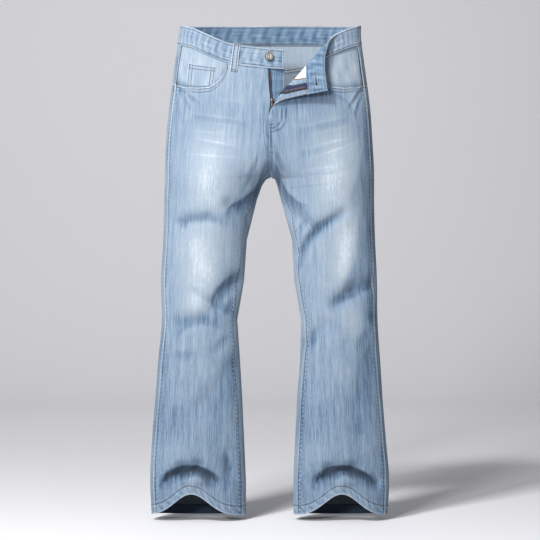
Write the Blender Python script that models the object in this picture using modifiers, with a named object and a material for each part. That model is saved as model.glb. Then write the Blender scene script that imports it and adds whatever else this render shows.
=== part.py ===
"""Bootcut jeans, filled out as worn and held at the waist, with the fly open and one front corner folded out.

Metres, +Z up. The front faces -Y, the wearer's right leg is at -X, and the origin is the middle of the
waist opening. Tables are in millimetres. Every cloth piece is a closed wall laid on one trouser form:
a place on that form is a side (-1 right, +1 left), an angle round the leg (0 front, 90 outer side,
180 back, in radians) and a height z, and a piece's two faces lie at named distances out of it.
"""

import functools
import math

import bmesh
import bpy
import numpy as np
from mathutils import Vector

# Driving sizes, in millimetres.
RIGHT, LEFT = -1, 1
WAIST_TOP = 20.0
BAND_HEIGHT = 42.0
HEM_LEVEL = -1053.0
CROTCH = -313.0
DENIM = 1.6
BAND_FACE, BAND_BACK = 0.7, -3.1
SEAM_GAP = 0.3
SIDE_SEAM_FORWARD = 9.0
INSEAM_FORWARD = 8.0
BACK_RISE = 6.0
LOOP_WIDTH = 15.0
BUTTON_RADIUS = 9.5

# The form, a row for each section: height, how far each silhouette lies from the middle line, how far
# the front and back bulge, and how far the section's side line leans back.
FORM = (
    # z, right outer, right inner, left inner, left outer, front, back, lean
    (30, 197, 0, 0, 198, 47, 57, 0),
    (0, 202, 0, 0, 197, 49, 60, 0),
    (-40, 208, 0, 0, 202, 52, 66, 0),
    (-90, 215, 0, 0, 209, 58, 75, 0),
    (-160, 224, 0, 0, 218, 66, 88, 0),
    (-230, 231, 0, 0, 223, 70, 95, 0),
    (-313, 233, 0.15, 0.15, 227, 69, 92, 1),
    (-318, 233, 11, 9, 227, 69, 91, 1),
    (-332, 234, 20, 14, 227, 68, 88, 1),
    (-363, 235, 31, 22, 227, 66, 81, 2),
    (-451, 237, 53, 46, 229, 59, 70, 0),
    (-539, 242, 59, 51, 233, 51, 58, -3),
    (-627, 240, 74, 66, 234, 44, 47, -6),
    (-715, 248, 68, 64, 240, 42, 46, -2),
    (-803, 255, 63, 57, 246, 43, 48, 3),
    (-891, 262, 59, 53, 253, 44, 48, 3),
    (-979, 266, 55, 49, 260, 46, 48, 1),
    (-1060, 262, 55, 50, 256, 47, 48, 0),
)
# How far the waist's edges drop on the front, from the side (1) to the middle (0).
WAIST_DIP = (
    # across, right edge and seam, left edge, left seam
    (1.0, 0, 0, 0),
    (0.85, 8, 10, 9),
    (0.66, 26, 29, 25),
    (0.5, 40, 46, 40),
    (0.42, 45, 53, 48),
    (0.28, 50, 59, 57),
    (0.0, 57, 64, 64),
    (-0.15, 59, 64, 64),
)
# The mouth of the front pockets, from the waistband to the side seam.
POCKET_MOUTH = (
    # from the middle, z
    (93, -64),
    (100, -88),
    (111, -106),
    (128, -119),
    (154, -121),
    (176, -118),
    (198, -112),
    (210, -104),
)
# The edges of the fly: the right front's, and the left front's as it lay before it was folded out.
FLY_EDGES = (
    # z, right front, left front
    (-60, -7, 12.5),
    (-100, -6, 12.5),
    (-122, -4.5, 12.0),
    (-138, -3, 10.5),
    (-150, -1.8, 8.0),
    (-162, -2.2, 5.2),
    (-174, -4.4, -1.5),
    (-186, -5.2, -4.8),
    (-222, -5.2, -4.8),
    (-262, -0.15, 0.15),
)
# The widest creases and hollows of the filled-out cloth, as soft strokes on one face of one leg.
FOLDS = (
    # side, face, from x, from z, to x, to z, half width, depth inwards
    (RIGHT, "front", -231, -981, -195, -950, 14, 7),
    (RIGHT, "front", -195, -950, -158, -946, 14, 9),
    (RIGHT, "front", -158, -946, -118, -977, 14, 7),
    (RIGHT, "front", -198, -974, -150, -974, 11, -5),
    (RIGHT, "front", -96, -985, -92, -915, 12, 5),
    (LEFT, "front", 95, -982, 126, -952, 14, 7),
    (LEFT, "front", 126, -952, 180, -948, 14, 9),
    (LEFT, "front", 180, -948, 234, -979, 14, 7),
    (LEFT, "front", 128, -976, 182, -976, 11, -5),
    (RIGHT, "front", -92, -375, -35, -415, 14, 7),
    (RIGHT, "front", -200, -415, -140, -410, 13, 5),
    (RIGHT, "front", -120, -592, -75, -540, 19, 8),
    (RIGHT, "front", -205, -630, -150, -626, 18, 5),
    (RIGHT, "front", -148, -815, -85, -730, 20, 5),
    (LEFT, "front", 30, -375, 70, -415, 14, 7),
    (LEFT, "front", 62, -480, 95, -430, 12, 6),
    (LEFT, "front", 95, -430, 155, -395, 12, 6),
    (LEFT, "front", 140, -590, 178, -560, 17, 7),
    (LEFT, "front", 178, -560, 218, -545, 17, 6),
    (LEFT, "front", 75, -680, 118, -638, 17, 6),
    (LEFT, "front", 170, -860, 215, -700, 20, 4),
    (RIGHT, "back", -60, -330, -150, -345, 14, 7),
    (LEFT, "back", 60, -332, 150, -348, 14, 7),
    (RIGHT, "back", -95, -585, -200, -600, 13, 7),
    (RIGHT, "back", -110, -640, -205, -622, 12, 6),
    (LEFT, "back", 90, -590, 195, -602, 13, 7),
    (LEFT, "back", 105, -645, 205, -628, 12, 6),
    (RIGHT, "back", -100, -930, -225, -965, 14, 6),
    (LEFT, "back", 95, -965, 220, -935, 14, 6),
    (RIGHT, "back", -95, -190, -95, -235, 62, -9),
    (LEFT, "back", 95, -190, 95, -235, 62, -9),
)
# The front of each hem is drawn up over the foot: how high, how wide, and where across the leg.
HEM_ARCH_HEIGHT = 49.0
HEM_ARCH_WIDTH = 0.5
HEM_ARCH_MIDDLE = {RIGHT: 0.13, LEFT: 0.0}
HEM_ARCH_TOP = -890.0
BACK_HEM_DROP = 6.0
# The crotch curve starts at these heights and runs under to the crotch.
FRONT_CURVE_START, BACK_CURVE_START = -232.0, -140.0
# The fly's edges reach the middle line at this height.
MIDDLE_SEAM_TOP = -262.0
# The corner of the left front rolls out along this line, with a roll that widens towards the waist.
ROLL_LOW = np.array((8.5, -158.0))
ROLL_HIGH = np.array((121.0, -25.0))
ROLL_RADIUS_LOW, ROLL_RADIUS_HIGH = 2.6, 7.0
LAPEL_LIFT = 0.2
# Heights of the rows along the side seams, shared by the panels that meet there.
UPPER_ROWS = (-104, -119, -134, -149, -164, -180, -195)
LOWER_ROWS = (-195, -225, -255, -280, -298, -309, -313, -318, -335, -358, -388, -420, -455, -492, -530)
LEG_ROWS = (-565, -598, -632, -668, -710, -760, -812, -862, -905, -935, -950, -966, -988, -1018)
ROWS = UPPER_ROWS[:-1] + LOWER_ROWS + LEG_ROWS + (HEM_LEVEL,)
# Where the points of a panel lie across it, as shares from its side seam to its inner edge.
FRONT_RIGHT_COLUMNS = (0, 0.08, 0.17, 0.26, 0.35, 0.44, 0.51, 0.58, 0.66, 0.75, 0.84, 0.92, 1)
BACK_COLUMNS = tuple(k / 15 for k in range(16))
# On the left front: flat, rolled and folded-out spans.
LAPEL_SPANS = (8, 5, 2)
YOKE_SIDE, YOKE_MIDDLE = -49.0, -76.0
# Where the waistband ends past the middle line, on the button's side and the buttonhole's.
BUTTON_END, HOLE_END = 27.0, 20.0
BUTTON_PLACE = (-4.4, -54.0)
# Belt loops: how far each pair stands from the middle line, and the one on the folded corner.
FRONT_LOOP, BACK_LOOP, CORNER_LOOP = -74.0, 104.0, 60.0
LOOP_LEAN = 0.12
# The denim behind each pocket mouth: its depth under the form, its inner edge and how far it hangs lower.
FACING_FACE, FACING_BACK = -DENIM - 0.8, -DENIM - 1.9
FACING_INNER, FACING_HANG = 88.0, 16.0
FACING_BEHIND_BAG = 1.4
# The folded-out corner's layers, as distances from the fly edge.
FLY_FACING_WIDTH, FLY_FACING_BOTTOM, TAPER_TOP = 37.0, -149, -119.0
CHAIN_INSET, CHAIN_WIDTH, TAPE_WIDTH, CHAIN_BOTTOM = 13.0, 2.4, 12.0, -134
BAG_ROLLED_SPANS, BAG_BOTTOM = 4, -225
# The open zip on the right front: the chain's path, as heights and distances from the middle line.
CHAIN_PATH = ((-84, -2.6), (-98, -0.8), (-112, 0.0), (-126, 0.4), (-143, 1.6))
TAPE_END = (-158, 2.6)
PULL_HINGE = (2.1, -68.0, -151.0)
PULL_LENGTH = 13.0
HEM_BAND = 19.0

part = bpy.data.collections.new("bootcut_jeans")
cutters = bpy.data.collections.new("cutters")


# ---------------------------------------------------------------- the form

def steps(table, column):
    """The heights of a table, rising, and one of its columns with them."""
    rows = sorted(table)
    return [row[0] for row in rows], [row[column] for row in rows]


def smooth_column(table, column):
    """A function of height that runs smoothly through one column of a table."""
    heights, values = steps(table, column)
    slopes = np.gradient(values, heights)

    def value(z):
        z = min(max(z, heights[0]), heights[-1])
        k = min(max(np.searchsorted(heights, z) - 1, 0), len(heights) - 2)
        span = heights[k + 1] - heights[k]
        t = (z - heights[k]) / span
        start = values[k] * (1 + 2 * t) * (1 - t) ** 2 + slopes[k] * span * t * (1 - t) ** 2
        end = values[k + 1] * (3 - 2 * t) * t**2 - slopes[k + 1] * span * t**2 * (1 - t)
        return start + end

    return value


def straight_column(table, column):
    """A function that runs straight from row to row of one column of a table."""
    places, values = steps(table, column)
    return lambda place: float(np.interp(place, places, values))


OUTER = {RIGHT: smooth_column(FORM, 1), LEFT: smooth_column(FORM, 4)}
INNER = {RIGHT: straight_column(FORM, 2), LEFT: straight_column(FORM, 3)}
FRONT_BULGE = smooth_column(FORM, 5)
BACK_BULGE = smooth_column(FORM, 6)
LEAN = smooth_column(FORM, 7)
RIGHT_DIP = straight_column(WAIST_DIP, 1)
LEFT_EDGE_DIP = straight_column(WAIST_DIP, 2)
LEFT_SEAM_DIP = straight_column(WAIST_DIP, 3)
MOUTH = straight_column(POCKET_MOUTH, 1)
FLY_EDGE = {RIGHT: straight_column(FLY_EDGES, 1), LEFT: straight_column(FLY_EDGES, 2)}


def soft_step(value):
    value = min(max(value, 0.0), 1.0)
    return value * value * (3 - 2 * value)


def curve_share(z, front):
    """How far down the crotch curve a height is: 0 above it, 1 at the crotch and below."""
    start, power = (FRONT_CURVE_START, 1.3) if front else (BACK_CURVE_START, 1.7)
    share = (start - z) / (start - CROTCH)
    return min(max(share, 0.0), 1.0) ** power


def half_width(side, z, front):
    """Half the width of the arc that one side's face follows: the whole body's above the crotch, a leg's below."""
    outer = OUTER[side](z)
    if z < CROTCH:
        return (outer - INNER[side](z)) / 2
    return (outer - SEAM_GAP / 2) / (1 + curve_share(z, front))


def relief(side, front, x, z, facing):
    """How far the folds push the cloth out at a place. It fades at the silhouette, where front meets back."""
    face = "front" if front else "back"
    push = 0.0
    for fold_side, fold_face, x0, z0, x1, z1, width, depth in FOLDS:
        if fold_side != side or fold_face != face:
            continue
        run = np.array((x1 - x0, z1 - z0), float)
        reach = np.array((x - x0, z - z0), float)
        along = min(max(float(run @ reach) / float(run @ run), 0.0), 1.0)
        gap = math.hypot(*(reach - along * run))
        push -= depth * math.exp(-((gap / width) ** 2))
    if z >= CROTCH:
        push *= soft_step(abs(x) / 15)
    return push * soft_step(facing / 0.35)


def skin(side, angle, z):
    """A point of the form, in millimetres."""
    sine, cosine = math.sin(angle), math.cos(angle)
    front = cosine > 0
    half = half_width(side, z, front)
    bulge = FRONT_BULGE(z) if front else BACK_BULGE(z)
    x = side * (OUTER[side](z) - half * (1 - sine))
    y = LEAN(z) - bulge * cosine
    way = np.array((side * sine / half, -cosine / bulge, 0.0))
    way /= np.linalg.norm(way)
    return np.array((x, y, z)) + way * relief(side, front, x, z, abs(cosine)), way


def on_form(side, angle, z, out):
    """The point at a distance out of the form, square to its surface."""
    spread, drop = 0.01, 1.0
    upper, lower = z + drop, z - drop
    if z >= CROTCH:
        lower = max(lower, CROTCH)
    else:
        upper = min(upper, CROTCH - 0.001)
    across = skin(side, angle + spread, z)[0] - skin(side, angle - spread, z)[0]
    down = skin(side, angle, upper)[0] - skin(side, angle, lower)[0]
    point, way = skin(side, angle, z)
    square = np.cross(across, down)
    square /= np.linalg.norm(square)
    return point + out * square * (1 if square @ way > 0 else -1)


def front_angle(side, x, z):
    """The angle at which the front face reaches a distance x from the middle line, on its own side."""
    sine = 1 - (OUTER[side](z) - x * side) / half_width(side, z, True)
    return math.asin(min(max(sine, -1.0), 1.0))


def back_angle(side, x, z):
    sine = 1 - (OUTER[side](z) - x * side) / half_width(side, z, False)
    return math.pi - math.asin(min(max(sine, -1.0), 1.0))


def on_lapel(x, z, out):
    """A place on the left front, given as it lay before its corner was rolled out over the front."""
    line = ROLL_HIGH - ROLL_LOW
    length = np.linalg.norm(line)
    line = line / length
    away = np.array((-line[1], line[0]))
    reach = np.array((x, z)) - ROLL_LOW
    along = float(reach @ line)
    share = min(max(along / length, 0.0), 1.3)
    radius = ROLL_RADIUS_LOW + (ROLL_RADIUS_HIGH - ROLL_RADIUS_LOW) * share
    past = float(reach @ away) + radius
    if past <= 0:
        return on_form(LEFT, front_angle(LEFT, x, z), z, out)
    turn = min(past / radius, math.pi)
    beyond = max(past - math.pi * radius, 0.0)
    across = -radius + (radius - out) * math.sin(turn) - beyond
    height = radius - (radius - out) * math.cos(turn) + LAPEL_LIFT * beyond
    place = ROLL_LOW + line * along + away * across
    return on_form(LEFT, front_angle(LEFT, place[0], place[1]), place[1], height)


def past_roll(x, z):
    """How much cloth lies past the start of the roll, and how much the roll itself takes up."""
    line = ROLL_HIGH - ROLL_LOW
    length = np.linalg.norm(line)
    line = line / length
    reach = np.array((x, z)) - ROLL_LOW
    share = min(max(float(reach @ line) / length, 0.0), 1.3)
    radius = ROLL_RADIUS_LOW + (ROLL_RADIUS_HIGH - ROLL_RADIUS_LOW) * share
    return float(reach @ np.array((-line[1], line[0]))) + radius, math.pi * radius


# ---------------------------------------------------------------- seams and edges

def side_seam(side, z, gap):
    """The angle of the side seam, a little forward of the silhouette. A positive gap moves it back."""
    half = half_width(side, z, True)
    return math.asin(1 - SIDE_SEAM_FORWARD / half) + gap / FRONT_BULGE(z)


def inner_edge(side, z, front, gap):
    """The angle of a panel's inner edge: the middle seam or fly edge above the crotch, the inseam below."""
    if z >= CROTCH:
        if front and z > MIDDLE_SEAM_TOP:
            return front_angle(side, FLY_EDGE[side](z), z)
        edge = max(-math.asin(curve_share(z, front)), abs(gap) / FRONT_BULGE(z) - math.pi / 2)
        return edge if front else math.pi - edge
    settled = -math.asin(1 - INSEAM_FORWARD / half_width(side, z, True))
    angle = -math.pi / 2 + (settled + math.pi / 2) * soft_step((CROTCH - z) / 90)
    angle += gap / FRONT_BULGE(z)
    return angle if front else angle + 2 * math.pi


def waist_drop(side, angle, edge):
    """How far the waist's edge, or else the waistband's seam, lies under its height at the side."""
    across = math.sin(angle)
    if math.cos(angle) <= 0:
        return -BACK_RISE * (1 - across**2)
    if side == RIGHT:
        return RIGHT_DIP(across)
    return LEFT_EDGE_DIP(across) if edge else LEFT_SEAM_DIP(across)


def band_edge(side, angle):
    return WAIST_TOP - waist_drop(side, angle, True)


def band_seam(side, angle):
    return WAIST_TOP - BAND_HEIGHT - waist_drop(side, angle, False)


def yoke_seam(angle):
    across = abs(math.sin(angle))
    return YOKE_MIDDLE + (YOKE_SIDE - YOKE_MIDDLE) * across


def front_top(side, angle):
    """The upper edge of a front panel: the waistband's seam, then the pocket mouth."""
    seam = band_seam(side, angle) - (SEAM_GAP if side == RIGHT else 2 * SEAM_GAP)
    distance = abs(math.sin(angle)) * OUTER[side](seam)
    if distance < POCKET_MOUTH[0][0]:
        return seam
    return min(seam, MOUTH(distance))


def hem_shift(side, angle, z):
    """How far the hem's rows lie above their height at the sides."""
    share = soft_step((HEM_ARCH_TOP - z) / (HEM_ARCH_TOP - HEM_LEVEL))
    if math.cos(angle) <= 0:
        return -BACK_HEM_DROP * share * math.cos(angle) ** 2
    across = math.sin(angle) - HEM_ARCH_MIDDLE[side]
    arch = math.exp(-((across / HEM_ARCH_WIDTH) ** 2)) - math.exp(-((1 / HEM_ARCH_WIDTH) ** 2))
    return HEM_ARCH_HEIGHT * share * max(arch, 0.0) * soft_step(math.cos(angle) / 0.3)


def row_height(side, angle, z, top, first):
    """The height of a panel's row at an angle. Rows spread evenly under a shaped top edge."""
    lowest = UPPER_ROWS[-1]
    if z >= lowest:
        share = (z - first) / (lowest - first)
        return top + share * (lowest - top)
    return z + hem_shift(side, angle, z)


# ---------------------------------------------------------------- building

def cloth_material(name, colour, roughness=0.9, metallic=0.0):
    material = bpy.data.materials.new(name)
    material.use_nodes = True
    shader = material.node_tree.nodes["Principled BSDF"]
    shader.inputs["Base Color"].default_value = (*colour, 1)
    shader.inputs["Roughness"].default_value = roughness
    shader.inputs["Metallic"].default_value = metallic
    material.diffuse_color = (*colour, 1)
    return material


def finish_mesh(name, points, faces, material):
    mesh = bpy.data.meshes.new(name)
    mesh.from_pydata([tuple(float(value) / 1000 for value in point) for point in points], [], faces)
    shape = bmesh.new()
    shape.from_mesh(mesh)
    bmesh.ops.recalc_face_normals(shape, faces=shape.faces)
    bmesh.ops.triangulate(shape, faces=shape.faces)
    shape.to_mesh(mesh)
    shape.free()
    mesh.shade_smooth()
    mesh.set_sharp_from_angle(angle=math.radians(50))
    mesh.materials.append(material)
    piece = bpy.data.objects.new(name, mesh)
    part.objects.link(piece)
    return piece


def cloth_wall(name, place, columns, rows, face, back, material, ring=False):
    """A closed wall between two distances out of the form. place(column, row, out) gives its points. Each
    span is split along the same diagonal, so that one wall nests on another made from its points."""
    wide, tall = len(columns), len(rows)
    points = [place(column, row, out) for out in (face, back) for row in rows for column in columns]

    def index(layer, row, column):
        return layer * wide * tall + row * wide + column % wide

    faces = []
    spans = wide if ring else wide - 1
    for row in range(tall - 1):
        for column in range(spans):
            corner, far = (row, column), (row + 1, column + 1)
            for loop in ((corner, (row, column + 1), far), (corner, far, (row + 1, column))):
                faces.append([index(0, *spot) for spot in loop])
                faces.append([index(1, *spot) for spot in reversed(loop)])
    for column in range(spans):
        for row in (0, tall - 1):
            faces.append([index(0, row, column), index(0, row, column + 1),
                          index(1, row, column + 1), index(1, row, column)])
    if not ring:
        for row in range(tall - 1):
            for column in (0, wide - 1):
                faces.append([index(0, row, column), index(0, row + 1, column),
                              index(1, row + 1, column), index(1, row, column)])
    return finish_mesh(name, points, faces, material)


def shares(count, bend=1.0):
    """Evenly spaced shares from 0 to 1, closer together at the start where bend is over 1."""
    return [(k / count) ** bend for k in range(count + 1)]


def settle(angle_of, height_of, start):
    """The angle and height of a grid point, where each depends on the other."""
    height = start
    for _ in range(4):
        angle = angle_of(height)
        height = height_of(angle)
    return angle_of(height), height


# ---------------------------------------------------------------- the panels

def front_right(material):
    def spot(column, z, out):
        def angle_of(height):
            start = side_seam(RIGHT, height, -SEAM_GAP / 2)
            end = inner_edge(RIGHT, height, True, SEAM_GAP / 2)
            return start + column * (end - start)

        def height_of(angle):
            return row_height(RIGHT, angle, z, front_top(RIGHT, angle), UPPER_ROWS[0])

        angle, height = settle(angle_of, height_of, z)
        return on_form(RIGHT, angle, height, out)

    cloth_wall("front_right", spot, FRONT_RIGHT_COLUMNS, ROWS, 0, -DENIM, material)


def left_place(share, z):
    """The angle and height of a place on a row of the left front, before its corner is folded out."""
    def angle_of(height):
        start = side_seam(LEFT, height, -SEAM_GAP / 2)
        return start + share * (inner_edge(LEFT, height, True, SEAM_GAP / 2) - start)

    def height_of(angle):
        return row_height(LEFT, angle, z, front_top(LEFT, angle), UPPER_ROWS[0])

    return settle(angle_of, height_of, z)


def left_x(angle, height):
    return OUTER[LEFT](height) - half_width(LEFT, height, True) * (1 - math.sin(angle))


def roll_shares(place):
    """Where points lie across a row of the left front: dense where its corner rolls over. place(share)
    gives the x and z of the row."""
    places = shares(60)
    passed = [past_roll(*place(share)) for share in places]
    last, roll = passed[-1]
    start, end = 0.8, 0.93
    if last > 0:
        gone = [amount for amount, _ in passed]
        start = min(float(np.interp(0.0, gone, places)), start)
        rolled_out = float(np.interp(min(roll, 0.8 * last), gone, places))
        end = min(max(rolled_out, start + 0.04), 0.97)
    flat, rolled, turned = LAPEL_SPANS
    across = [start * k / flat for k in range(flat)]
    across += [start + (end - start) * k / rolled for k in range(rolled)]
    return across + [end + (1 - end) * k / turned for k in range(turned + 1)]


@functools.cache
def left_shares(z):
    """Where a row's points lie across the left front. Below the rolled corner they even out."""
    def place(share):
        angle, height = left_place(share, z)
        return left_x(angle, height), height

    evening = soft_step((UPPER_ROWS[-1] - z) / 150)
    return [share + evening * (even - share)
            for share, even in zip(roll_shares(place), shares(sum(LAPEL_SPANS)))]


def left_point(share, z, out):
    angle, height = left_place(share, z)
    if height < UPPER_ROWS[-1]:
        return on_form(LEFT, angle, height, out)
    return on_lapel(left_x(angle, height), height, out)


def front_left(material):
    columns = {z: left_shares(z) for z in ROWS}
    cloth_wall("front_left", lambda column, z, out: left_point(columns[z][column], z, out),
               range(sum(LAPEL_SPANS) + 1), ROWS, 0, -DENIM, material)


def layer_on_left(name, rows, inner, outer, face, back, material):
    """A layer on the inside of the left front, made from that panel's points. It runs between two
    distances from the fly edge, along the panel's own rows, and follows the panel through its roll."""
    sliver = 0.0004
    grids = {}
    for z in rows:
        panel = left_shares(z)
        places = shares(60)
        reached = [left_x(*left_place(share, z)) for share in places]
        edge = reached[-1]

        def share_at(x):
            return float(np.interp(x, reached[::-1], places[::-1]))

        low, high = share_at(outer(edge, z)), share_at(inner(edge, z))
        count = len(panel) - 1
        grids[z] = [min(max(share, low + k * sliver), high - (count - k) * sliver)
                    for k, share in enumerate(panel)]
    used = [k for k in range(count + 1)
            if k in (0, count) or any(abs(grids[z][k] - left_shares(z)[k]) < 1e-9 for z in rows)]

    def spot(column, z, out):
        share, panel = grids[z][column], left_shares(z)
        k = min(max(int(np.searchsorted(panel, share)) - 1, 0), len(panel) - 2)
        blend = (share - panel[k]) / (panel[k + 1] - panel[k])
        return (1 - blend) * left_point(panel[k], z, out) + blend * left_point(panel[k + 1], z, out)

    cloth_wall(name, spot, used, rows, face, back, material)


def back_panel(name, side, material):
    first = YOKE_SIDE - SEAM_GAP

    def spot(column, z, out):
        def angle_of(height):
            start = side_seam(side, height, SEAM_GAP / 2)
            end = inner_edge(side, height, False, -SEAM_GAP / 2)
            return start + column * (end - start)

        def height_of(angle):
            return row_height(side, angle, z, yoke_seam(angle) - SEAM_GAP, first)

        angle, height = settle(angle_of, height_of, z)
        return on_form(side, angle, height, out)

    cloth_wall(name, spot, BACK_COLUMNS, (first, -77) + ROWS, 0, -DENIM, material)


def yoke(name, side, material):
    def spot(column, share, out):
        def angle_of(height):
            start = side_seam(side, height, SEAM_GAP / 2)
            return start + column * (inner_edge(side, height, False, 0) - start)

        def height_of(angle):
            top = band_seam(side, angle) - SEAM_GAP
            return top + share * (yoke_seam(angle) - top)

        angle, height = settle(angle_of, height_of, -50)
        return on_form(side, angle, height, out)

    cloth_wall(name, spot, shares(10), shares(2), 0, -DENIM, material)


# ---------------------------------------------------------------- the waistband

def waistband_back(material):
    def spot(column, share, out):
        side = RIGHT if column < 0 else LEFT
        start = side_seam(side, 0, SEAM_GAP / 2)
        angle = math.pi + (start - math.pi) * abs(column)
        low, high = band_seam(side, angle), band_edge(side, angle)
        return on_form(side, angle, high + share * (low - high), out)

    columns = [k / 9 for k in range(-9, 10)]
    cloth_wall("waistband_back", spot, columns, shares(2), BAND_FACE, BAND_BACK, material)


def waistband_right(material):
    start = side_seam(RIGHT, 0, -SEAM_GAP / 2)
    end = front_angle(RIGHT, BUTTON_END, -50)

    def spot(column, share, out):
        angle = start + column * (end - start)
        low, high = band_seam(RIGHT, angle), band_edge(RIGHT, angle)
        return on_form(RIGHT, angle, high + share * (low - high), out)

    cloth_wall("waistband_right", spot, shares(12), shares(2), BAND_FACE, BAND_BACK, material)


def left_band_place(column, share):
    """The unfolded place of a point of the left waistband, as x and z."""
    start = side_seam(LEFT, 0, -SEAM_GAP / 2)
    end = front_angle(LEFT, HOLE_END, -60)
    angle = start + column * (end - start)
    low, high = band_seam(LEFT, angle), band_edge(LEFT, angle)
    height = high + share * (low - high)
    return OUTER[LEFT](height) - half_width(LEFT, height, True) * (1 - math.sin(angle)), height


def waistband_left(material):
    levels = shares(4)
    columns = {level: roll_shares(lambda column: left_band_place(column, level)) for level in levels}
    cloth_wall("waistband_left",
               lambda k, level, out: on_lapel(*left_band_place(columns[level][k], level), out),
               range(sum(LAPEL_SPANS) + 1), levels, BAND_FACE, BAND_BACK, material)


def belt_loop(name, spot, length, material, bow=2.5, thick=1.7):
    """A strip over the waistband that bows out a little between its sewn ends."""
    def place(column, row, out):
        stand = bow * math.sin(math.pi * min(row / 0.75, 1.0)) ** 2
        return spot((column - 0.5) * LOOP_WIDTH, WAIST_TOP + 1 - row * length, out + stand)

    low = BAND_FACE + 0.4
    cloth_wall(name, place, shares(2), shares(6), low + thick, low, material)


def belt_loops(material):
    length = BAND_HEIGHT + 18

    def on_side(side, x, front, lean):
        def spot(across, height, out):
            at = x + across + lean * (height - WAIST_TOP)
            level = WAIST_TOP
            for _ in range(3):
                angle = front_angle(side, at, level) if front else back_angle(side, at, level)
                level = height - waist_drop(side, angle, True)
            return on_form(side, angle, level, out)

        return spot

    belt_loop("loop_front_right", on_side(RIGHT, FRONT_LOOP, True, LOOP_LEAN), length, material)
    belt_loop("loop_back_right", on_side(RIGHT, -BACK_LOOP, False, 0.0), length, material)
    belt_loop("loop_back_left", on_side(LEFT, BACK_LOOP, False, 0.0), length, material)
    belt_loop("loop_back_middle", on_side(LEFT, 0, False, 0.0), length, material)

    def on_corner(across, height, out):
        x = CORNER_LOOP + across
        return on_lapel(x, height - LEFT_EDGE_DIP(x / OUTER[LEFT](0)), out)

    belt_loop("loop_front_left", on_corner, BAND_HEIGHT + 4, material, bow=0.0, thick=1.3)


# ---------------------------------------------------------------- pockets

def pocket_facing(name, side, depth, material):
    """The denim behind the pocket mouth, from the waistband and side seam to a little under the mouth."""
    def spot(column, share, out):
        def angle_of(height):
            start = side_seam(side, height, -SEAM_GAP / 2)
            return start + column * (front_angle(side, side * FACING_INNER, height) - start)

        def height_of(angle):
            top = band_seam(side, angle) - SEAM_GAP
            distance = max(abs(math.sin(angle)) * OUTER[side](top), POCKET_MOUTH[0][0])
            bottom = min(MOUTH(distance), top) - FACING_HANG
            return top + share * (bottom - top)

        angle, height = settle(angle_of, height_of, -60)
        return on_form(side, angle, height, out)

    cloth_wall(name, spot, shares(9), shares(4), FACING_FACE - depth, FACING_BACK - depth, material)


def coin_pocket(material):
    """The small pocket on the right facing. It ends just above the pocket mouth."""
    top_outer, top_inner = (-178.0, -71.0), (-124.0, -82.0)
    bottom_outer, bottom_inner = -184.0, -128.0

    def spot(column, share, out):
        upper = np.array(top_outer) + column * (np.array(top_inner) - np.array(top_outer))
        lower_x = bottom_outer + column * (bottom_inner - bottom_outer)
        lower = np.array((lower_x, MOUTH(abs(lower_x)) + 4))
        x, z = upper + share * (lower - upper)
        return on_form(RIGHT, front_angle(RIGHT, x, z), z, out)

    cloth_wall("coin_pocket", spot, shares(4), shares(3), FACING_FACE + 1.5, FACING_FACE + 0.3, material)


def pocket_bag_left(material):
    """The white bag behind the left front, which shows where the corner is folded out. It lies along the
    panel's own rows and columns, from the pocket's side to near the end of the roll."""
    rows = [z for z in ROWS if z >= BAG_BOTTOM]
    last = LAPEL_SPANS[0] + BAG_ROLLED_SPANS

    def spot(column, z, out):
        panel = left_shares(z)
        return left_point(panel[column], z, out)

    cloth_wall("pocket_bag_left", spot, range(1, last + 1), rows, -DENIM - 0.6, -DENIM - 1.4, material)


def back_pocket(name, side, material):
    """A plain patch pocket with a pointed foot, tilted a little with the yoke."""
    width, height, point = 128.0, 118.0, 22.0
    middle, top, tilt = 98.0, -108.0, 0.06

    def spot(column, share, out):
        across = (column - 0.5) * width * (1 - 0.1 * share)
        foot = height + point * (1 - abs(2 * column - 1))
        x = side * (middle + across + tilt * share * foot)
        z = top + tilt * across - share * foot
        return on_form(side, back_angle(side, x, z), z, out)

    cloth_wall(name, spot, shares(8), shares(8), 1.6, 0.4, material)


# ---------------------------------------------------------------- fly

def left_fly_layers(facing_cloth, tape_cloth, metal):
    """The facing, zip tape and chain of the left fly edge, on the side that the fold turns out."""
    facing_rows = [z for z in ROWS if z >= FLY_FACING_BOTTOM]
    tape_rows = [z for z in ROWS if z >= CHAIN_BOTTOM]

    def facing_outer(edge, z):
        taper = soft_step((TAPER_TOP - z) / (TAPER_TOP - FLY_FACING_BOTTOM))
        return edge + FLY_FACING_WIDTH * (1 - 0.6 * taper)

    def tape_outer(edge, z):
        return edge + CHAIN_INSET + TAPE_WIDTH * (1 - 0.8 * soft_step((UPPER_ROWS[1] - z) / 35))

    layer_on_left("fly_facing_left", facing_rows, lambda edge, z: edge + 0.6, facing_outer,
                  -DENIM - 1.9, -DENIM - 2.9, facing_cloth)
    layer_on_left("zip_tape_left", tape_rows, lambda edge, z: edge + CHAIN_INSET, tape_outer,
                  -DENIM - 4.6, -DENIM - 5.3, tape_cloth)
    layer_on_left("zip_chain_left", tape_rows, lambda edge, z: edge + CHAIN_INSET,
                  lambda edge, z: edge + CHAIN_INSET + CHAIN_WIDTH, -DENIM - 6.0, -DENIM - 7.3, metal)


def strip_on_right(name, path, width, face, back, material):
    """A strip on the right front's fly edge along a path of (z, x) places."""
    def spot(column, place, out):
        z, x = place
        return on_form(RIGHT, front_angle(RIGHT, x + (column - 0.5) * width, z), z, out)

    cloth_wall(name, spot, shares(2), path, face, back, material)


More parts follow.
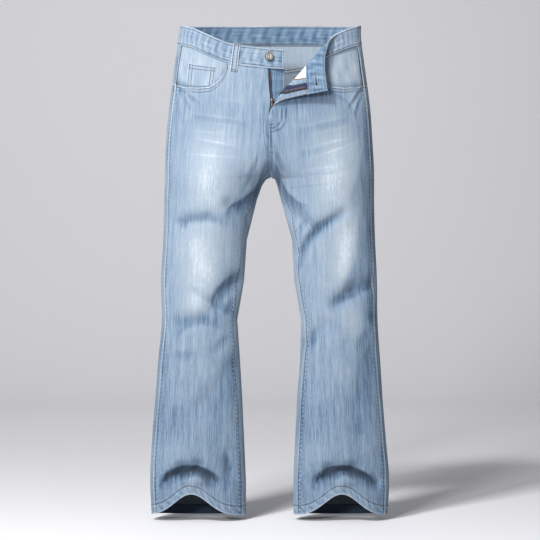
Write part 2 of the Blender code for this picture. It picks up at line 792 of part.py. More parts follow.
def fly_shield(material):
    """The underlap behind the zip, joined to the right front and waistband."""
    inner, outer = -22.0, 29.0

    def spot(column, share, out):
        x = inner + column * (outer - inner)
        top = -70.0 - 0.11 * (x - inner)
        bottom = -168.0 + 0.28 * (x - inner)
        z = top + share * (bottom - top)
        return on_form(RIGHT, front_angle(RIGHT, x, z), z, out - 5 * soft_step(x / outer))

    cloth_wall("fly_shield", spot, shares(4), shares(5), -DENIM - 2.3, -DENIM - 3.7, material)


# ---------------------------------------------------------------- hems

def hem_angles(side):
    """The angles of the panels' points round a leg end, so that the band inside lies flat against them."""
    front = FRONT_RIGHT_COLUMNS if side == RIGHT else shares(sum(LAPEL_SPANS))
    seam = side_seam(side, HEM_LEVEL, 0)
    inseam = inner_edge(side, HEM_LEVEL, True, 0)
    angles = [inseam + (1 - share) * (seam - inseam) for share in reversed(front)]
    around = 2 * math.pi + inseam - seam
    return angles + [seam + share * around for share in BACK_COLUMNS[1:-1]]


def hem(name, side, material):
    """The band that is turned up inside a leg end."""
    def spot(angle, share, out):
        level = HEM_LEVEL + 1 + share * HEM_BAND
        height = level + hem_shift(side, angle, HEM_LEVEL)
        return on_form(side, angle, height, out)

    cloth_wall(name, spot, hem_angles(side), shares(1), -DENIM - 0.6, -DENIM - 1.7, material, ring=True)


# ---------------------------------------------------------------- metal

def turned(name, profile, material, where, way):
    """A turned piece: a profile down its outer side, from top to bottom, spun by a Screw modifier."""
    mesh = bpy.data.meshes.new(name)
    points = [(radius / 1000, 0, height / 1000) for radius, height in profile]
    mesh.from_pydata(points, [(k, k + 1) for k in range(len(points) - 1)], [])
    mesh.materials.append(material)
    piece = bpy.data.objects.new(name, mesh)
    screw = piece.modifiers.new("turn", "SCREW")
    screw.steps = 20
    screw.render_steps = screw.steps
    screw.use_merge_vertices = True
    screw.merge_threshold = 0.00001
    piece.location = [value / 1000 for value in where]
    piece.rotation_euler = Vector(way).to_track_quat("Z", "Y").to_euler()
    part.objects.link(piece)
    return piece


def button(material):
    """A metal shank button at the end of the right waistband: a shank, and a cap with a rounded rim."""
    x, z = BUTTON_PLACE
    angle = front_angle(RIGHT, x, z)
    spot = on_form(RIGHT, angle, z, BAND_FACE + 0.4)
    way = on_form(RIGHT, angle, z, 10) - on_form(RIGHT, angle, z, 0)
    cap_top = 7.0
    profile = [(0, cap_top - 0.6), (BUTTON_RADIUS - 2.6, cap_top - 0.4), (BUTTON_RADIUS - 1.6, cap_top),
               (BUTTON_RADIUS - 0.6, cap_top - 0.2), (BUTTON_RADIUS, cap_top - 1.2),
               (BUTTON_RADIUS - 0.2, cap_top - 2.2), (BUTTON_RADIUS - 1.2, cap_top - 2.8),
               (3.2, cap_top - 3.2), (2.8, cap_top - 4.2), (3.4, 0), (0, 0)]
    turned("button", profile, material, spot, way)


def box_piece(name, low, high, material, bevel):
    bpy.ops.mesh.primitive_cube_add(size=1)
    piece = bpy.context.object
    piece.name = piece.data.name = name
    low, high = np.array(low) / 1000, np.array(high) / 1000
    for corner in piece.data.vertices:
        corner.co = [float(value) for value in low + (np.array(corner.co) + 0.5) * (high - low)]
    rounding = piece.modifiers.new("rounding", "BEVEL")
    rounding.width = bevel / 1000
    rounding.segments = 2
    piece.data.materials.append(material)
    for collection in list(piece.users_collection):
        collection.objects.unlink(piece)
    part.objects.link(piece)
    return piece


def zip_slider(material):
    """The slider at the foot of the open chains, with two low ears that hold the pull tab's pin."""
    x, y, z = PULL_HINGE
    plate = box_piece("zip_slider", (x - 3.0, y + 1.8, z - 4.0), (x + 3.0, y + 4.8, z + 5.5), material, 0.6)
    for side in (-1, 1):
        ear = box_piece("ear", (x + side * 2.55 - 0.45, y - 0.8, z - 1.3),
                        (x + side * 2.55 + 0.45, y + 2.4, z + 1.3), material, 0.3)
        union = plate.modifiers.new("ear", "BOOLEAN")
        union.operation = "UNION"
        union.object = ear
        part.objects.unlink(ear)
        cutters.objects.link(ear)
        ear.hide_render = True
        ear.display_type = "WIRE"
    return plate


def zip_pull_tab(material):
    """The flat tab that hangs from the slider's ears and swings about X."""
    x, y, z = PULL_HINGE
    tab = box_piece("zip_pull_tab", (-1.7, -0.6, -PULL_LENGTH), (1.7, 0.6, 1.2), material, 0.4)
    tab.location = (x / 1000, y / 1000, z / 1000)
    return tab


def main():
    for thing in list(bpy.data.objects):
        bpy.data.objects.remove(thing, do_unlink=True)
    bpy.context.scene.collection.children.link(part)
    bpy.context.scene.collection.children.link(cutters)
    cutters.hide_render = True

    denim = cloth_material("washed_denim", (0.50, 0.63, 0.78))
    deep = cloth_material("denim_inside", (0.60, 0.68, 0.76))
    loops = cloth_material("denim_loops", (0.46, 0.60, 0.76))
    cotton = cloth_material("pocket_cotton", (0.88, 0.88, 0.86))
    tape = cloth_material("zip_tape", (0.06, 0.07, 0.13))
    copper = cloth_material("zip_copper", (0.45, 0.27, 0.17), 0.35, 1.0)
    nickel = cloth_material("button_nickel", (0.46, 0.44, 0.40), 0.35, 1.0)

    front_right(denim)
    front_left(denim)
    back_panel("back_right", RIGHT, denim)
    back_panel("back_left", LEFT, denim)
    yoke("yoke_right", RIGHT, denim)
    yoke("yoke_left", LEFT, denim)
    waistband_back(denim)
    waistband_right(denim)
    waistband_left(denim)
    belt_loops(loops)
    pocket_facing("pocket_facing_right", RIGHT, 0, denim)
    pocket_facing("pocket_facing_left", LEFT, FACING_BEHIND_BAG, denim)
    coin_pocket(loops)
    pocket_bag_left(cotton)
    back_pocket("back_pocket_right", RIGHT, loops)
    back_pocket("back_pocket_left", LEFT, loops)
    left_fly_layers(deep, tape, copper)
    fly_shield(deep)
    tape_path = [(z, x - 5) for z, x in CHAIN_PATH + (TAPE_END,)]
    strip_on_right("zip_tape_right", tape_path, 11, -DENIM - 0.8, -DENIM - 1.5, tape)
    strip_on_right("zip_chain_right", CHAIN_PATH, CHAIN_WIDTH, -DENIM + 0.9, -DENIM - 0.5, copper)
    hem("hem_right", RIGHT, deep)
    hem("hem_left", LEFT, deep)
    button(nickel)
    zip_slider(copper)
    zip_pull_tab(copper)


main()
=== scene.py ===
import json
import math

import bpy
import numpy as np
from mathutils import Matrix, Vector


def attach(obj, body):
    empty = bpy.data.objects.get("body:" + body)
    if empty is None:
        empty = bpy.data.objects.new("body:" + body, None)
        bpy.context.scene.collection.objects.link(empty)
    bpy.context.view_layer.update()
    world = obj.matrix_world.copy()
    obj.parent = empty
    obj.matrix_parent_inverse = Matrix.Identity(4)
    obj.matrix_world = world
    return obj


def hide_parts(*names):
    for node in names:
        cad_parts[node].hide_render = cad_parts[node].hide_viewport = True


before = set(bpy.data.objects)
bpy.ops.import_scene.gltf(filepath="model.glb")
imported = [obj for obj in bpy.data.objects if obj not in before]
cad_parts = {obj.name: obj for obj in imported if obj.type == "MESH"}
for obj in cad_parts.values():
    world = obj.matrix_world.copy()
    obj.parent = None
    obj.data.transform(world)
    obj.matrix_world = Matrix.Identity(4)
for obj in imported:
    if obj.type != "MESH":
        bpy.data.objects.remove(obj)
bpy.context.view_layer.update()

# The looks of the bootcut jeans: each cloth piece is a fine shell on the trouser form, with its creases,
# wash and painted shade, sewing and metal. Lengths are in millimetres until a mesh is made.

# ---------------------------------------------------------------- sizes, as in the solids

RIGHT, LEFT = -1, 1
SIDE_WORD = {RIGHT: "right", LEFT: "left"}
WAIST_TOP, BAND_HEIGHT = 20.0, 42.0
HEM_LEVEL, CROTCH = -1053.0, -313.0
DENIM, SHELL = 1.6, 1.3
BAND_FACE, BAND_BACK = 0.7, -3.1
BAND_LINING = BAND_BACK + 0.2  # where the shell's inner face lies
SEAM_GAP = 0.3
SIDE_SEAM_FORWARD, INSEAM_FORWARD = 9.0, 8.0
BACK_RISE = 6.0
LOOP_WIDTH, LOOP_LENGTH, LOOP_BOW = 15.0, BAND_HEIGHT + 18, 2.5
BUTTON_PLACE, BUTTON_RADIUS = (-4.4, -54.0), 9.5
PULL_HINGE = (2.1, -68.0, -151.0)
YOKE_SIDE, YOKE_MIDDLE = -49.0, -76.0
TOP_ROW, SIDE_ROW, YOKE_ROW = -104.0, -195.0, -49.3
KNEE = -560.0

FORM = (
    # z, right outer, right inner, left inner, left outer, front, back, lean
    (30, 197, 0, 0, 198, 47, 57, 0),
    (0, 202, 0, 0, 197, 49, 60, 0),
    (-40, 208, 0, 0, 202, 52, 66, 0),
    (-90, 215, 0, 0, 209, 58, 75, 0),
    (-160, 224, 0, 0, 218, 66, 88, 0),
    (-230, 231, 0, 0, 223, 70, 95, 0),
    (-313, 233, 0.15, 0.15, 227, 69, 92, 1),
    (-318, 233, 11, 9, 227, 69, 91, 1),
    (-332, 234, 20, 14, 227, 68, 88, 1),
    (-363, 235, 31, 22, 227, 66, 81, 2),
    (-451, 237, 53, 46, 229, 59, 70, 0),
    (-539, 242, 59, 51, 233, 51, 58, -3),
    (-627, 240, 74, 66, 234, 44, 47, -6),
    (-715, 248, 68, 64, 240, 42, 46, -2),
    (-803, 255, 63, 57, 246, 43, 48, 3),
    (-891, 262, 59, 53, 253, 44, 48, 3),
    (-979, 266, 55, 49, 260, 46, 48, 1),
    (-1060, 262, 55, 50, 256, 47, 48, 0),
)
WAIST_DIP = (
    # across, right edge and seam, left edge, left seam
    (1.0, 0, 0, 0),
    (0.85, 8, 10, 9),
    (0.66, 26, 29, 25),
    (0.5, 40, 46, 40),
    (0.42, 45, 53, 48),
    (0.28, 50, 59, 57),
    (0.0, 57, 64, 64),
    (-0.15, 59, 64, 64),
)
POCKET_MOUTH = (
    # from the middle, z
    (93, -64), (100, -88), (111, -106), (128, -119), (154, -121), (176, -118), (198, -112), (210, -104),
)
FLY_EDGES = (
    # z, right front, left front
    (-60, -7, 12.5),
    (-100, -6, 12.5),
    (-122, -4.5, 12.0),
    (-138, -3, 10.5),
    (-150, -1.8, 8.0),
    (-162, -2.2, 5.2),
    (-174, -4.4, -1.5),
    (-186, -5.2, -4.8),
    (-222, -5.2, -4.8),
    (-262, -0.15, 0.15),
)
FOLDS = {
    # from x, from z, to x, to z, half width, depth inwards
    (RIGHT, "front"): (
        (-231, -981, -195, -950, 14, 7),
        (-195, -950, -158, -946, 14, 9),
        (-158, -946, -118, -977, 14, 7),
        (-198, -974, -150, -974, 11, -5),
        (-96, -985, -92, -915, 12, 5),
        (-92, -375, -35, -415, 14, 7),
        (-200, -415, -140, -410, 13, 5),
        (-120, -592, -75, -540, 19, 8),
        (-205, -630, -150, -626, 18, 5),
        (-148, -815, -85, -730, 20, 5),
    ),
    (LEFT, "front"): (
        (95, -982, 126, -952, 14, 7),
        (126, -952, 180, -948, 14, 9),
        (180, -948, 234, -979, 14, 7),
        (128, -976, 182, -976, 11, -5),
        (30, -375, 70, -415, 14, 7),
        (62, -480, 95, -430, 12, 6),
        (95, -430, 155, -395, 12, 6),
        (140, -590, 178, -560, 17, 7),
        (178, -560, 218, -545, 17, 6),
        (75, -680, 118, -638, 17, 6),
        (170, -860, 215, -700, 20, 4),
    ),
    (RIGHT, "back"): (
        (-60, -330, -150, -345, 14, 7),
        (-95, -585, -200, -600, 13, 7),
        (-110, -640, -205, -622, 12, 6),
        (-100, -930, -225, -965, 14, 6),
        (-95, -190, -95, -235, 62, -9),
    ),
    (LEFT, "back"): (
        (60, -332, 150, -348, 14, 7),
        (90, -590, 195, -602, 13, 7),
        (105, -645, 205, -628, 12, 6),
        (95, -965, 220, -935, 14, 6),
        (95, -190, 95, -235, 62, -9),
    ),
}
HEM_ARCH_HEIGHT, HEM_ARCH_WIDTH, HEM_ARCH_TOP = 49.0, 0.5, -890.0
HEM_ARCH_MIDDLE = {RIGHT: 0.13, LEFT: 0.0}
BACK_HEM_DROP = 6.0
FRONT_CURVE_START, BACK_CURVE_START, MIDDLE_SEAM_TOP = -232.0, -140.0, -262.0
CHAIN_PATH = (
    # z, across
    (-84, -2.6), (-98, -0.8), (-112, 0.0), (-126, 0.4), (-143, 1.6),
)
ROLL_LOW, ROLL_HIGH = np.array((8.5, -158.0)), np.array((121.0, -25.0))
ROLL_RADIUS_LOW, ROLL_RADIUS_HIGH, LAPEL_LIFT = 2.6, 7.0, 0.2
LAPEL_TAPER_FROM = -119.0

# ---------------------------------------------------------------- fine creases, the wash and painted shade

# Each table below is grouped by the wearer's side and the panel's face.
# Small creases: soft troughs with a low lip on each side. A depth below 0 is a ridge.
CREASES = {
    # from x, from z, to x, to z, half width, depth
    (RIGHT, "front"): (
        (-22, -262, -60, -352, 5, 1.6),
        (-12, -290, -34, -372, 4, 1.8),
        (-205, -112, -176, -170, 4, 2.0),
        (-206, -116, -152, -160, 4, 1.8),
        (-211, -120, -200, -190, 4, 1.4),
        (-206, -404, -180, -430, 6, 1.8),
        (-100, -620, -80, -575, 6, 2.0),
        (-215, -708, -160, -700, 9, 1.6),
        (-130, -700, -90, -660, 9, 2.0),
        (-240, -990, -222, -960, 5, 2.0),
        (-172, -1000, -168, -972, 6, -1.6),
        (-214, -880, -206, -800, 9, 1.4),
    ),
    (LEFT, "front"): (
        (14, -164, 14, -204, 3, 1.2),
        (28, -160, 27, -200, 3, 1.0),
        (205, -112, 170, -168, 4, 2.4),
        (203, -118, 184, -188, 4, 1.8),
        (14, -262, 28, -306, 4, 2.2),
        (10, -290, 34, -360, 4, 1.4),
        (58, -440, 76, -404, 6, 2.2),
        (60, -520, 74, -462, 7, 2.0),
        (86, -690, 96, -640, 7, 2.2),
        (190, -700, 212, -640, 8, 1.6),
        (96, -1000, 92, -930, 6, 2.2),
        (236, -996, 220, -956, 5, 2.2),
        (150, -1002, 154, -974, 6, -1.6),
    ),
    (RIGHT, "back"): (
        (-40, -320, -120, -338, 5, 1.8),
        (-50, -352, -150, -366, 6, 1.6),
        (-110, -540, -196, -560, 7, 1.8),
        (-100, -610, -190, -616, 6, 2.2),
        (-118, -660, -214, -676, 7, 1.6),
        (-90, -960, -206, -1000, 7, 1.8),
    ),
    (LEFT, "back"): (
        (40, -322, 122, -342, 5, 1.8),
        (54, -356, 150, -368, 6, 1.6),
        (100, -548, 196, -562, 7, 1.8),
        (96, -616, 190, -618, 6, 2.2),
        (112, -666, 204, -684, 7, 1.6),
        (90, -992, 206, -960, 7, 1.8),
    ),
}
# Longer bent creases: the cloth drops sharply on the left of a line's way, and slopes back on its right.
# A depth below 0 is a ridge, soft on both sides.
BENDS = {
    # points (x, z), half width, depth
    (RIGHT, "front"): (
        (((-246, -994), (-226, -968), (-206, -959), (-182, -954), (-164, -952), (-142, -960),
          (-110, -988)), 13, 8.5),
        (((-162, -950), (-163, -968), (-166, -1000)), 16, -4.0),
        (((-96, -912), (-88, -950), (-92, -992), (-106, -1004)), 11, 2.6),
        (((-92, -410), (-92, -392), (-80, -378), (-58, -366), (-34, -346), (-18, -314), (-8, -280)), 13, 3.4),
        (((-122, -604), (-122, -580), (-112, -560), (-92, -542), (-60, -520)), 17, 3.0),
        (((-100, -416), (-140, -404), (-176, -408), (-204, -428)), 13, 1.8),
        (((-106, -640), (-150, -630), (-186, -640), (-208, -668)), 15, 2.2),
    ),
    (LEFT, "front"): (
        (((88, -994), (110, -968), (132, -959), (156, -951), (176, -955), (202, -964), (238, -988)), 13, 8.5),
        (((160, -950), (161, -968), (162, -1000)), 16, -4.0),
        (((10, -286), (20, -326), (34, -352), (54, -370), (92, -384)), 9, 2.2),
        (((56, -486), (74, -450), (100, -420), (160, -388)), 13, 2.0),
        (((226, -552), (190, -566), (132, -594)), 13, 2.4),
        (((30, -338), (80, -336), (132, -330)), 4, 0.7),
        (((66, -312), (120, -308), (166, -300)), 4, 0.6),
        (((120, -122), (170, -150), (196, -190)), 7, 1.2),
    ),
}
# Painted shade: in the depth of the bends and the hems' arches, in the wedges by the crotch and knees, down the
# left leg's outer side, and the folded corner's shadow on the left front. Where the strength is below 0, the
# pale patches over the thighs and knees.
PAINTED_SHADE_AND_PALE_PATCHES = {
    # points (x, z), half width, strength
    (RIGHT, "front"): (
        (((-240, -982), (-225, -958), (-209, -951), (-192, -947), (-158, -945)), 15, 0.46),
        (((-204, -949), (-178, -946), (-160, -946), (-146, -951)), 6, 0.30),
        (((-172, -946), (-158, -947), (-141, -953), (-124, -962), (-106, -980)), 12, 0.44),
        (((-92, -915), (-88, -950), (-94, -985)), 13, 0.12),
        (((-64, -436), (-86, -414), (-93, -398), (-86, -383), (-62, -370), (-36, -348), (-14, -312),
          (-4, -276)), 24, 0.26),
        (((-66, -620), (-100, -606), (-123, -594), (-123, -578), (-112, -560), (-92, -542),
          (-58, -516)), 22, 0.26),
        (((-92, -418), (-140, -407), (-178, -411), (-208, -430)), 19, 0.20),
        (((-118, -584), (-150, -576), (-184, -548)), 9, 0.10),
        (((-104, -644), (-150, -632), (-188, -642), (-212, -672)), 20, 0.13),
        (((-132, -200), (-132, -310), (-134, -412)), 44, -0.34),
        (((-152, -392), (-152, -500), (-148, -606)), 40, -0.36),
        (((-166, -560), (-164, -645)), 24, -0.18),
    ),
    (LEFT, "front"): (
        (((90, -982), (106, -960), (122, -952), (140, -947), (166, -945)), 14, 0.44),
        (((128, -948), (150, -945), (168, -945), (182, -950)), 6, 0.28),
        (((154, -945), (172, -947), (190, -953), (212, -964), (234, -984)), 13, 0.46),
        (((4, -276), (16, -322), (32, -350), (54, -370), (76, -392), (82, -424)), 20, 0.24),
        (((54, -492), (66, -466), (86, -438), (108, -420), (134, -405), (166, -388)), 13, 0.30),
        # Painted shade down the left leg's outer side, turned away from the lamps.
        (((176, -384), (178, -354), (190, -318), (202, -262), (206, -200)), 18, 0.18),
        (((120, -602), (140, -584), (162, -556), (184, -506), (194, -440), (196, -380)), 24, 0.26),
        (((136, -205), (140, -300), (140, -400)), 42, -0.36),
        (((160, -385), (162, -470), (156, -575)), 33, -0.36),
        (((172, -575), (178, -670)), 28, -0.20),
        # Painted shadow that the folded corner casts on the left front.
        (((2, -186), (12, -164), (30, -147), (60, -135), (90, -128), (130, -125), (166, -128)), 26, 0.36),
    ),
}
# Where the wash has taken the blue out: soft patches, and the rubbed lines that fan from the fly. Where the
# strength is below 0 it is painted shade: in bands under the rubbed lines, in creases at the knees and shins,
# beside the middle seam and down the left leg's outer side; in the creases it is partly also the blue that a
# fold keeps.
WASH_AND_SHADE_LINES = {
    # from x, from z, to x, to z, half width, strength
    (RIGHT, "front"): (
        (-140, -700, -150, -840, 34, 0.06),
        (-174, -175, -56, -193, 2.4, 0.13),
        (-122, -144, -52, -155, 2.4, 0.09),
        (-160, -196, -66, -205, 2.4, 0.09),
        (-172, -214, -92, -222, 2.4, 0.10),
        (-162, -231, -76, -249, 2.4, 0.13),
        (-187, -264, -66, -275, 2.4, 0.12),
        (-166, -184, -60, -200, 7, -0.06),
        (-156, -240, -80, -257, 7, -0.06),
        (-205, -628, -150, -622, 12, -0.12),
        (-120, -820, -84, -720, 22, -0.10),
        (-8, -200, -12, -300, 12, -0.08),
    ),
    (LEFT, "front"): (
        (150, -700, 158, -840, 34, 0.05),
        (62, -208, 162, -182, 2.4, 0.12),
        (84, -226, 178, -200, 2.4, 0.10),
        (62, -258, 172, -228, 2.4, 0.12),
        (74, -280, 200, -234, 2.4, 0.10),
        (56, -304, 150, -290, 2.4, 0.09),
        (66, -217, 164, -192, 7, -0.06),
        (66, -268, 174, -238, 7, -0.06),
        (140, -592, 216, -548, 13, -0.12),
        (76, -676, 136, -640, 16, -0.10),
        (190, -860, 222, -620, 20, -0.16),
        (216, -180, 218, -620, 13, -0.15),
        (8, -200, 12, -300, 12, -0.08),
    ),
    (RIGHT, "back"): (
        (-112, -150, -120, -420, 60, 0.24),
        (-140, -560, -150, -640, 46, 0.10),
    ),
    (LEFT, "back"): (
        (112, -150, 120, -420, 60, 0.24),
        (140, -560, 150, -640, 46, 0.10),
    ),
}

# ---------------------------------------------------------------- the form, for whole grids at once


def straight(table, column):
    """A table's column as a function of its first column, in straight runs."""
    rows = sorted(table)
    places, values = [row[0] for row in rows], [row[column] for row in rows]
    return lambda place: np.interp(place, places, values)


def smooth(table, column):
    """A table's column as a function of its first column, without corners."""
    rows = sorted(table)
    heights = np.array([row[0] for row in rows], float)
    values = np.array([row[column] for row in rows], float)
    slopes = np.gradient(values, heights)

    def value(z):
        z = np.clip(z, heights[0], heights[-1])
        k = np.clip(np.searchsorted(heights, z) - 1, 0, len(heights) - 2)
        span = heights[k + 1] - heights[k]
        t = (z - heights[k]) / span
        start = values[k] * (1 + 2 * t) * (1 - t) ** 2 + slopes[k] * span * t * (1 - t) ** 2
        return start + values[k + 1] * (3 - 2 * t) * t**2 - slopes[k + 1] * span * t**2 * (1 - t)

    return value


OUTER = {RIGHT: smooth(FORM, 1), LEFT: smooth(FORM, 4)}
INNER = {RIGHT: straight(FORM, 2), LEFT: straight(FORM, 3)}
FRONT_BULGE, BACK_BULGE, LEAN = smooth(FORM, 5), smooth(FORM, 6), smooth(FORM, 7)
RIGHT_DIP, LEFT_EDGE_DIP, LEFT_SEAM_DIP = (straight(WAIST_DIP, k) for k in (1, 2, 3))
MOUTH = straight(POCKET_MOUTH, 1)
FLY_EDGE = {RIGHT: straight(FLY_EDGES, 1), LEFT: straight(FLY_EDGES, 2)}
CHAIN_X = straight(CHAIN_PATH, 1)


def soft_step(value):
    """0 up to 0 and 1 from 1 on, with soft ends."""
    value = np.clip(value, 0.0, 1.0)
    return value * value * (3 - 2 * value)


def curve_share(z, front):
    """How far a leg has parted from the other one, from 0 at the hips to 1 at the crotch."""
    start = np.where(front, FRONT_CURVE_START, BACK_CURVE_START)
    power = np.where(front, 1.3, 1.7)
    return np.clip((start - z) / (start - CROTCH), 0, 1) ** power


def half_width(side, z, front):
    outer = OUTER[side](z)
    body = (outer - SEAM_GAP / 2) / (1 + curve_share(z, front))
    return np.where(z < CROTCH, (outer - INNER[side](z)) / 2, body)


THIN_STROKE = 3
UPPER_LIP, LOWER_LIP, LIP_AWAY = 0.3, 0.12, 1.9  # shares of a crease's depth, and of its half width
CRISP_SIDE = 0.3  # how wide a bend's crisp side is beside its soft one


def rows_of(table, side):
    """A grouped table's rows for one leg, each after whether it is on the front."""
    return [(face == "front", *row) for (leg, face), rows in table.items() if leg == side for row in rows]


def strokes(table, side, front, x, z, ridged=False):
    """The sum of a table's soft strokes at each place. Thin or ridged ones fade out at both ends."""
    total = np.zeros_like(x)
    for on_front, x0, z0, x1, z1, width, depth in rows_of(table, side):
        run_x, run_z = x1 - x0, z1 - z0
        length = math.hypot(run_x, run_z)
        along = np.clip(((x - x0) * run_x + (z - z0) * run_z) / length**2, 0, 1)
        gap_x, gap_z = x - x0 - along * run_x, z - z0 - along * run_z
        gap = np.hypot(gap_x, gap_z)
        mark = depth * np.exp(-((gap / width) ** 2))
        if width < THIN_STROKE and not ridged:
            mark = mark * np.sin(math.pi * along) ** 0.7
        if ridged:
            lip_height = np.where(gap_z > 0, UPPER_LIP, LOWER_LIP) * depth
            lip = lip_height * np.exp(-(((gap - LIP_AWAY * width) / width) ** 2))
            mark = (mark - lip) * np.sin(math.pi * along) ** 0.8
        total += np.where(front == on_front, mark, 0.0)
    return total


def bends(table, side, front, x, z):
    """A table's bent lines at each place, crisp on the left of their way and soft on the right of it.

    A line with a depth below 0, a ridge or a pale patch, is soft on both sides.
    """
    total = np.zeros_like(x)
    for on_front, points, width, depth in rows_of(table, side):
        lengths = [math.dist(*pair) for pair in zip(points, points[1:])]
        nearest, share, run = np.full_like(x, 1e9), np.zeros_like(x), 0.0
        for (x0, z0), (x1, z1), length in zip(points, points[1:], lengths):
            along = np.clip(((x - x0) * (x1 - x0) + (z - z0) * (z1 - z0)) / length**2, 0, 1)
            gap_x, gap_z = x - x0 - along * (x1 - x0), z - z0 - along * (z1 - z0)
            crisp = (depth > 0) & ((x1 - x0) * gap_z - (z1 - z0) * gap_x > 0)
            gap = np.hypot(gap_x, gap_z) / np.where(crisp, CRISP_SIDE, 1.0)
            share = np.where(gap < nearest, (run + along * length) / sum(lengths), share)
            nearest = np.minimum(gap, nearest)
            run += length
        mark = depth * np.exp(-((nearest / width) ** 2)) * np.sin(math.pi * share) ** 0.7
        total += np.where(front == on_front, mark, 0.0)
    return total


def relief(side, front, x, z, facing):
    """The large folds, fading towards the sides and to the middle seam."""
    push = -strokes(FOLDS, side, front, x, z)
    push = np.where(z >= CROTCH, push * soft_step(np.abs(x) / 15), push)
    return push * soft_step(facing / 0.35)


def skin(side, angle, z):
    """Points on the form at angles from its front, and the ways out of it."""
    sine, cosine = np.sin(angle), np.cos(angle)
    front = cosine > 0
    half = half_width(side, z, front)
    bulge = np.where(front, FRONT_BULGE(z), BACK_BULGE(z))
    x = side * (OUTER[side](z) - half * (1 - sine))
    y = LEAN(z) - bulge * cosine
    way = np.stack((side * sine / half, -cosine / bulge, np.zeros_like(x)), -1)
    way /= np.linalg.norm(way, axis=-1, keepdims=True)
    push = relief(side, front, x, z, np.abs(cosine))
    return np.stack((x, y, z + 0 * x), -1) + way * push[..., None], way


def on_form(side, angle, z, out):
    """Points at a distance out of the form, square to its surface."""
    angle, z, out = np.broadcast_arrays(np.asarray(angle, float), np.asarray(z, float), np.asarray(out, float))
    upper = np.where(z >= CROTCH, z + 1.0, np.minimum(z + 1.0, CROTCH - 0.001))
    lower = np.where(z >= CROTCH, np.maximum(z - 1.0, CROTCH), z - 1.0)
    across = skin(side, angle + 0.01, z)[0] - skin(side, angle - 0.01, z)[0]
    down = skin(side, angle, upper)[0] - skin(side, angle, lower)[0]
    point, way = skin(side, angle, z)
    square = np.cross(across, down)
    square /= np.linalg.norm(square, axis=-1, keepdims=True)
    square *= np.where((square * way).sum(-1, keepdims=True) > 0, 1, -1)
    return point + out[..., None] * square


def front_angle(side, x, z):
    return np.arcsin(np.clip(1 - (OUTER[side](z) - x * side) / half_width(side, z, True), -1, 1))


def back_angle(side, x, z):
    return math.pi - np.arcsin(np.clip(1 - (OUTER[side](z) - x * side) / half_width(side, z, False), -1, 1))


def x_at(side, angle, z):
    half = half_width(side, z, np.cos(angle) > 0)
    return side * (OUTER[side](z) - half * (1 - np.sin(angle)))


def waves(a, b):
    """An uneven swell between -1 and 1, from two places in millimetres."""
    return (np.sin(a * 0.9 + 1.7 * np.sin(b * 0.11)) + 0.6 * np.sin(a * 1.53 + b * 0.23 + 1.1)) / 1.6


def seam_gaps(side, angle, z):
    """Distances along the cloth to the side seam and the inseam, in millimetres."""
    front = np.cos(angle) > 0
    half = half_width(side, z, front)
    bulge = np.where(front, FRONT_BULGE(z), BACK_BULGE(z))
    length = np.hypot(half * np.cos(angle), bulge * np.sin(angle))
    to_side = (angle - side_seam(side, z, 0)) * length
    inner = inner_edge(side, z, front, 0)
    to_inner = np.where(z < CROTCH, (angle - inner) * length, 99.0)
    return to_side, to_inner


def fine(side, angle, z):
    """The shells' own small relief at a place: creases, puckers along the seams and the hem's ridge."""
    front = np.cos(angle) > 0
    x = x_at(side, angle, z)
    creased = strokes(CREASES, side, front, x, z, ridged=True) + bends(BENDS, side, front, x, z)
    height = -creased * soft_step(np.abs(np.cos(angle)) / 0.3)
    to_side, to_inner = seam_gaps(side, angle, z)
    below = soft_step((CROTCH - z) / 60)
    lower = 0.4 + 0.6 * soft_step((KNEE - z) / 300)
    for gap, strength, share in ((to_side, 0.28, 1.0), (to_inner, 0.5, below)):
        gap = np.abs(gap)
        beside = np.exp(-(((gap - 6) / 5.5) ** 2))
        height = height + strength * share * lower * beside * waves(z * 0.75, gap * 3)
        height = height + 0.35 * share * np.exp(-((gap / 5.0) ** 4))
    above_hem = z - HEM_LEVEL - hem_shift(side, angle, np.full_like(z, HEM_LEVEL))
    roped = waves((x + above_hem * 0.8) * 0.42, x * 0.3)
    height = height + 0.4 * soft_step((21 - above_hem) / 4)
    height = height + 0.3 * roped * np.exp(-(((above_hem - 11) / 10) ** 2))
    return height


def cloth(side, angle, z, out=0.0):
    """A place on the creased cloth of one leg."""
    return on_form(side, angle, z, out + fine(side, np.asarray(angle, float), np.asarray(z, float)))


ROLL_LENGTH = np.linalg.norm(ROLL_HIGH - ROLL_LOW)
ROLL_LINE = (ROLL_HIGH - ROLL_LOW) / ROLL_LENGTH
ROLL_AWAY = np.array((-ROLL_LINE[1], ROLL_LINE[0]))


def past_roll(x, z):
    """How far places lie past the start of the roll, its radius there, and the distance along its line."""
    reach = np.stack((x, z), -1) - ROLL_LOW
    share = np.clip(reach @ ROLL_LINE / ROLL_LENGTH, 0, 1.3)
    radius = ROLL_RADIUS_LOW + (ROLL_RADIUS_HIGH - ROLL_RADIUS_LOW) * share
    return reach @ ROLL_AWAY + radius, radius, reach @ ROLL_LINE


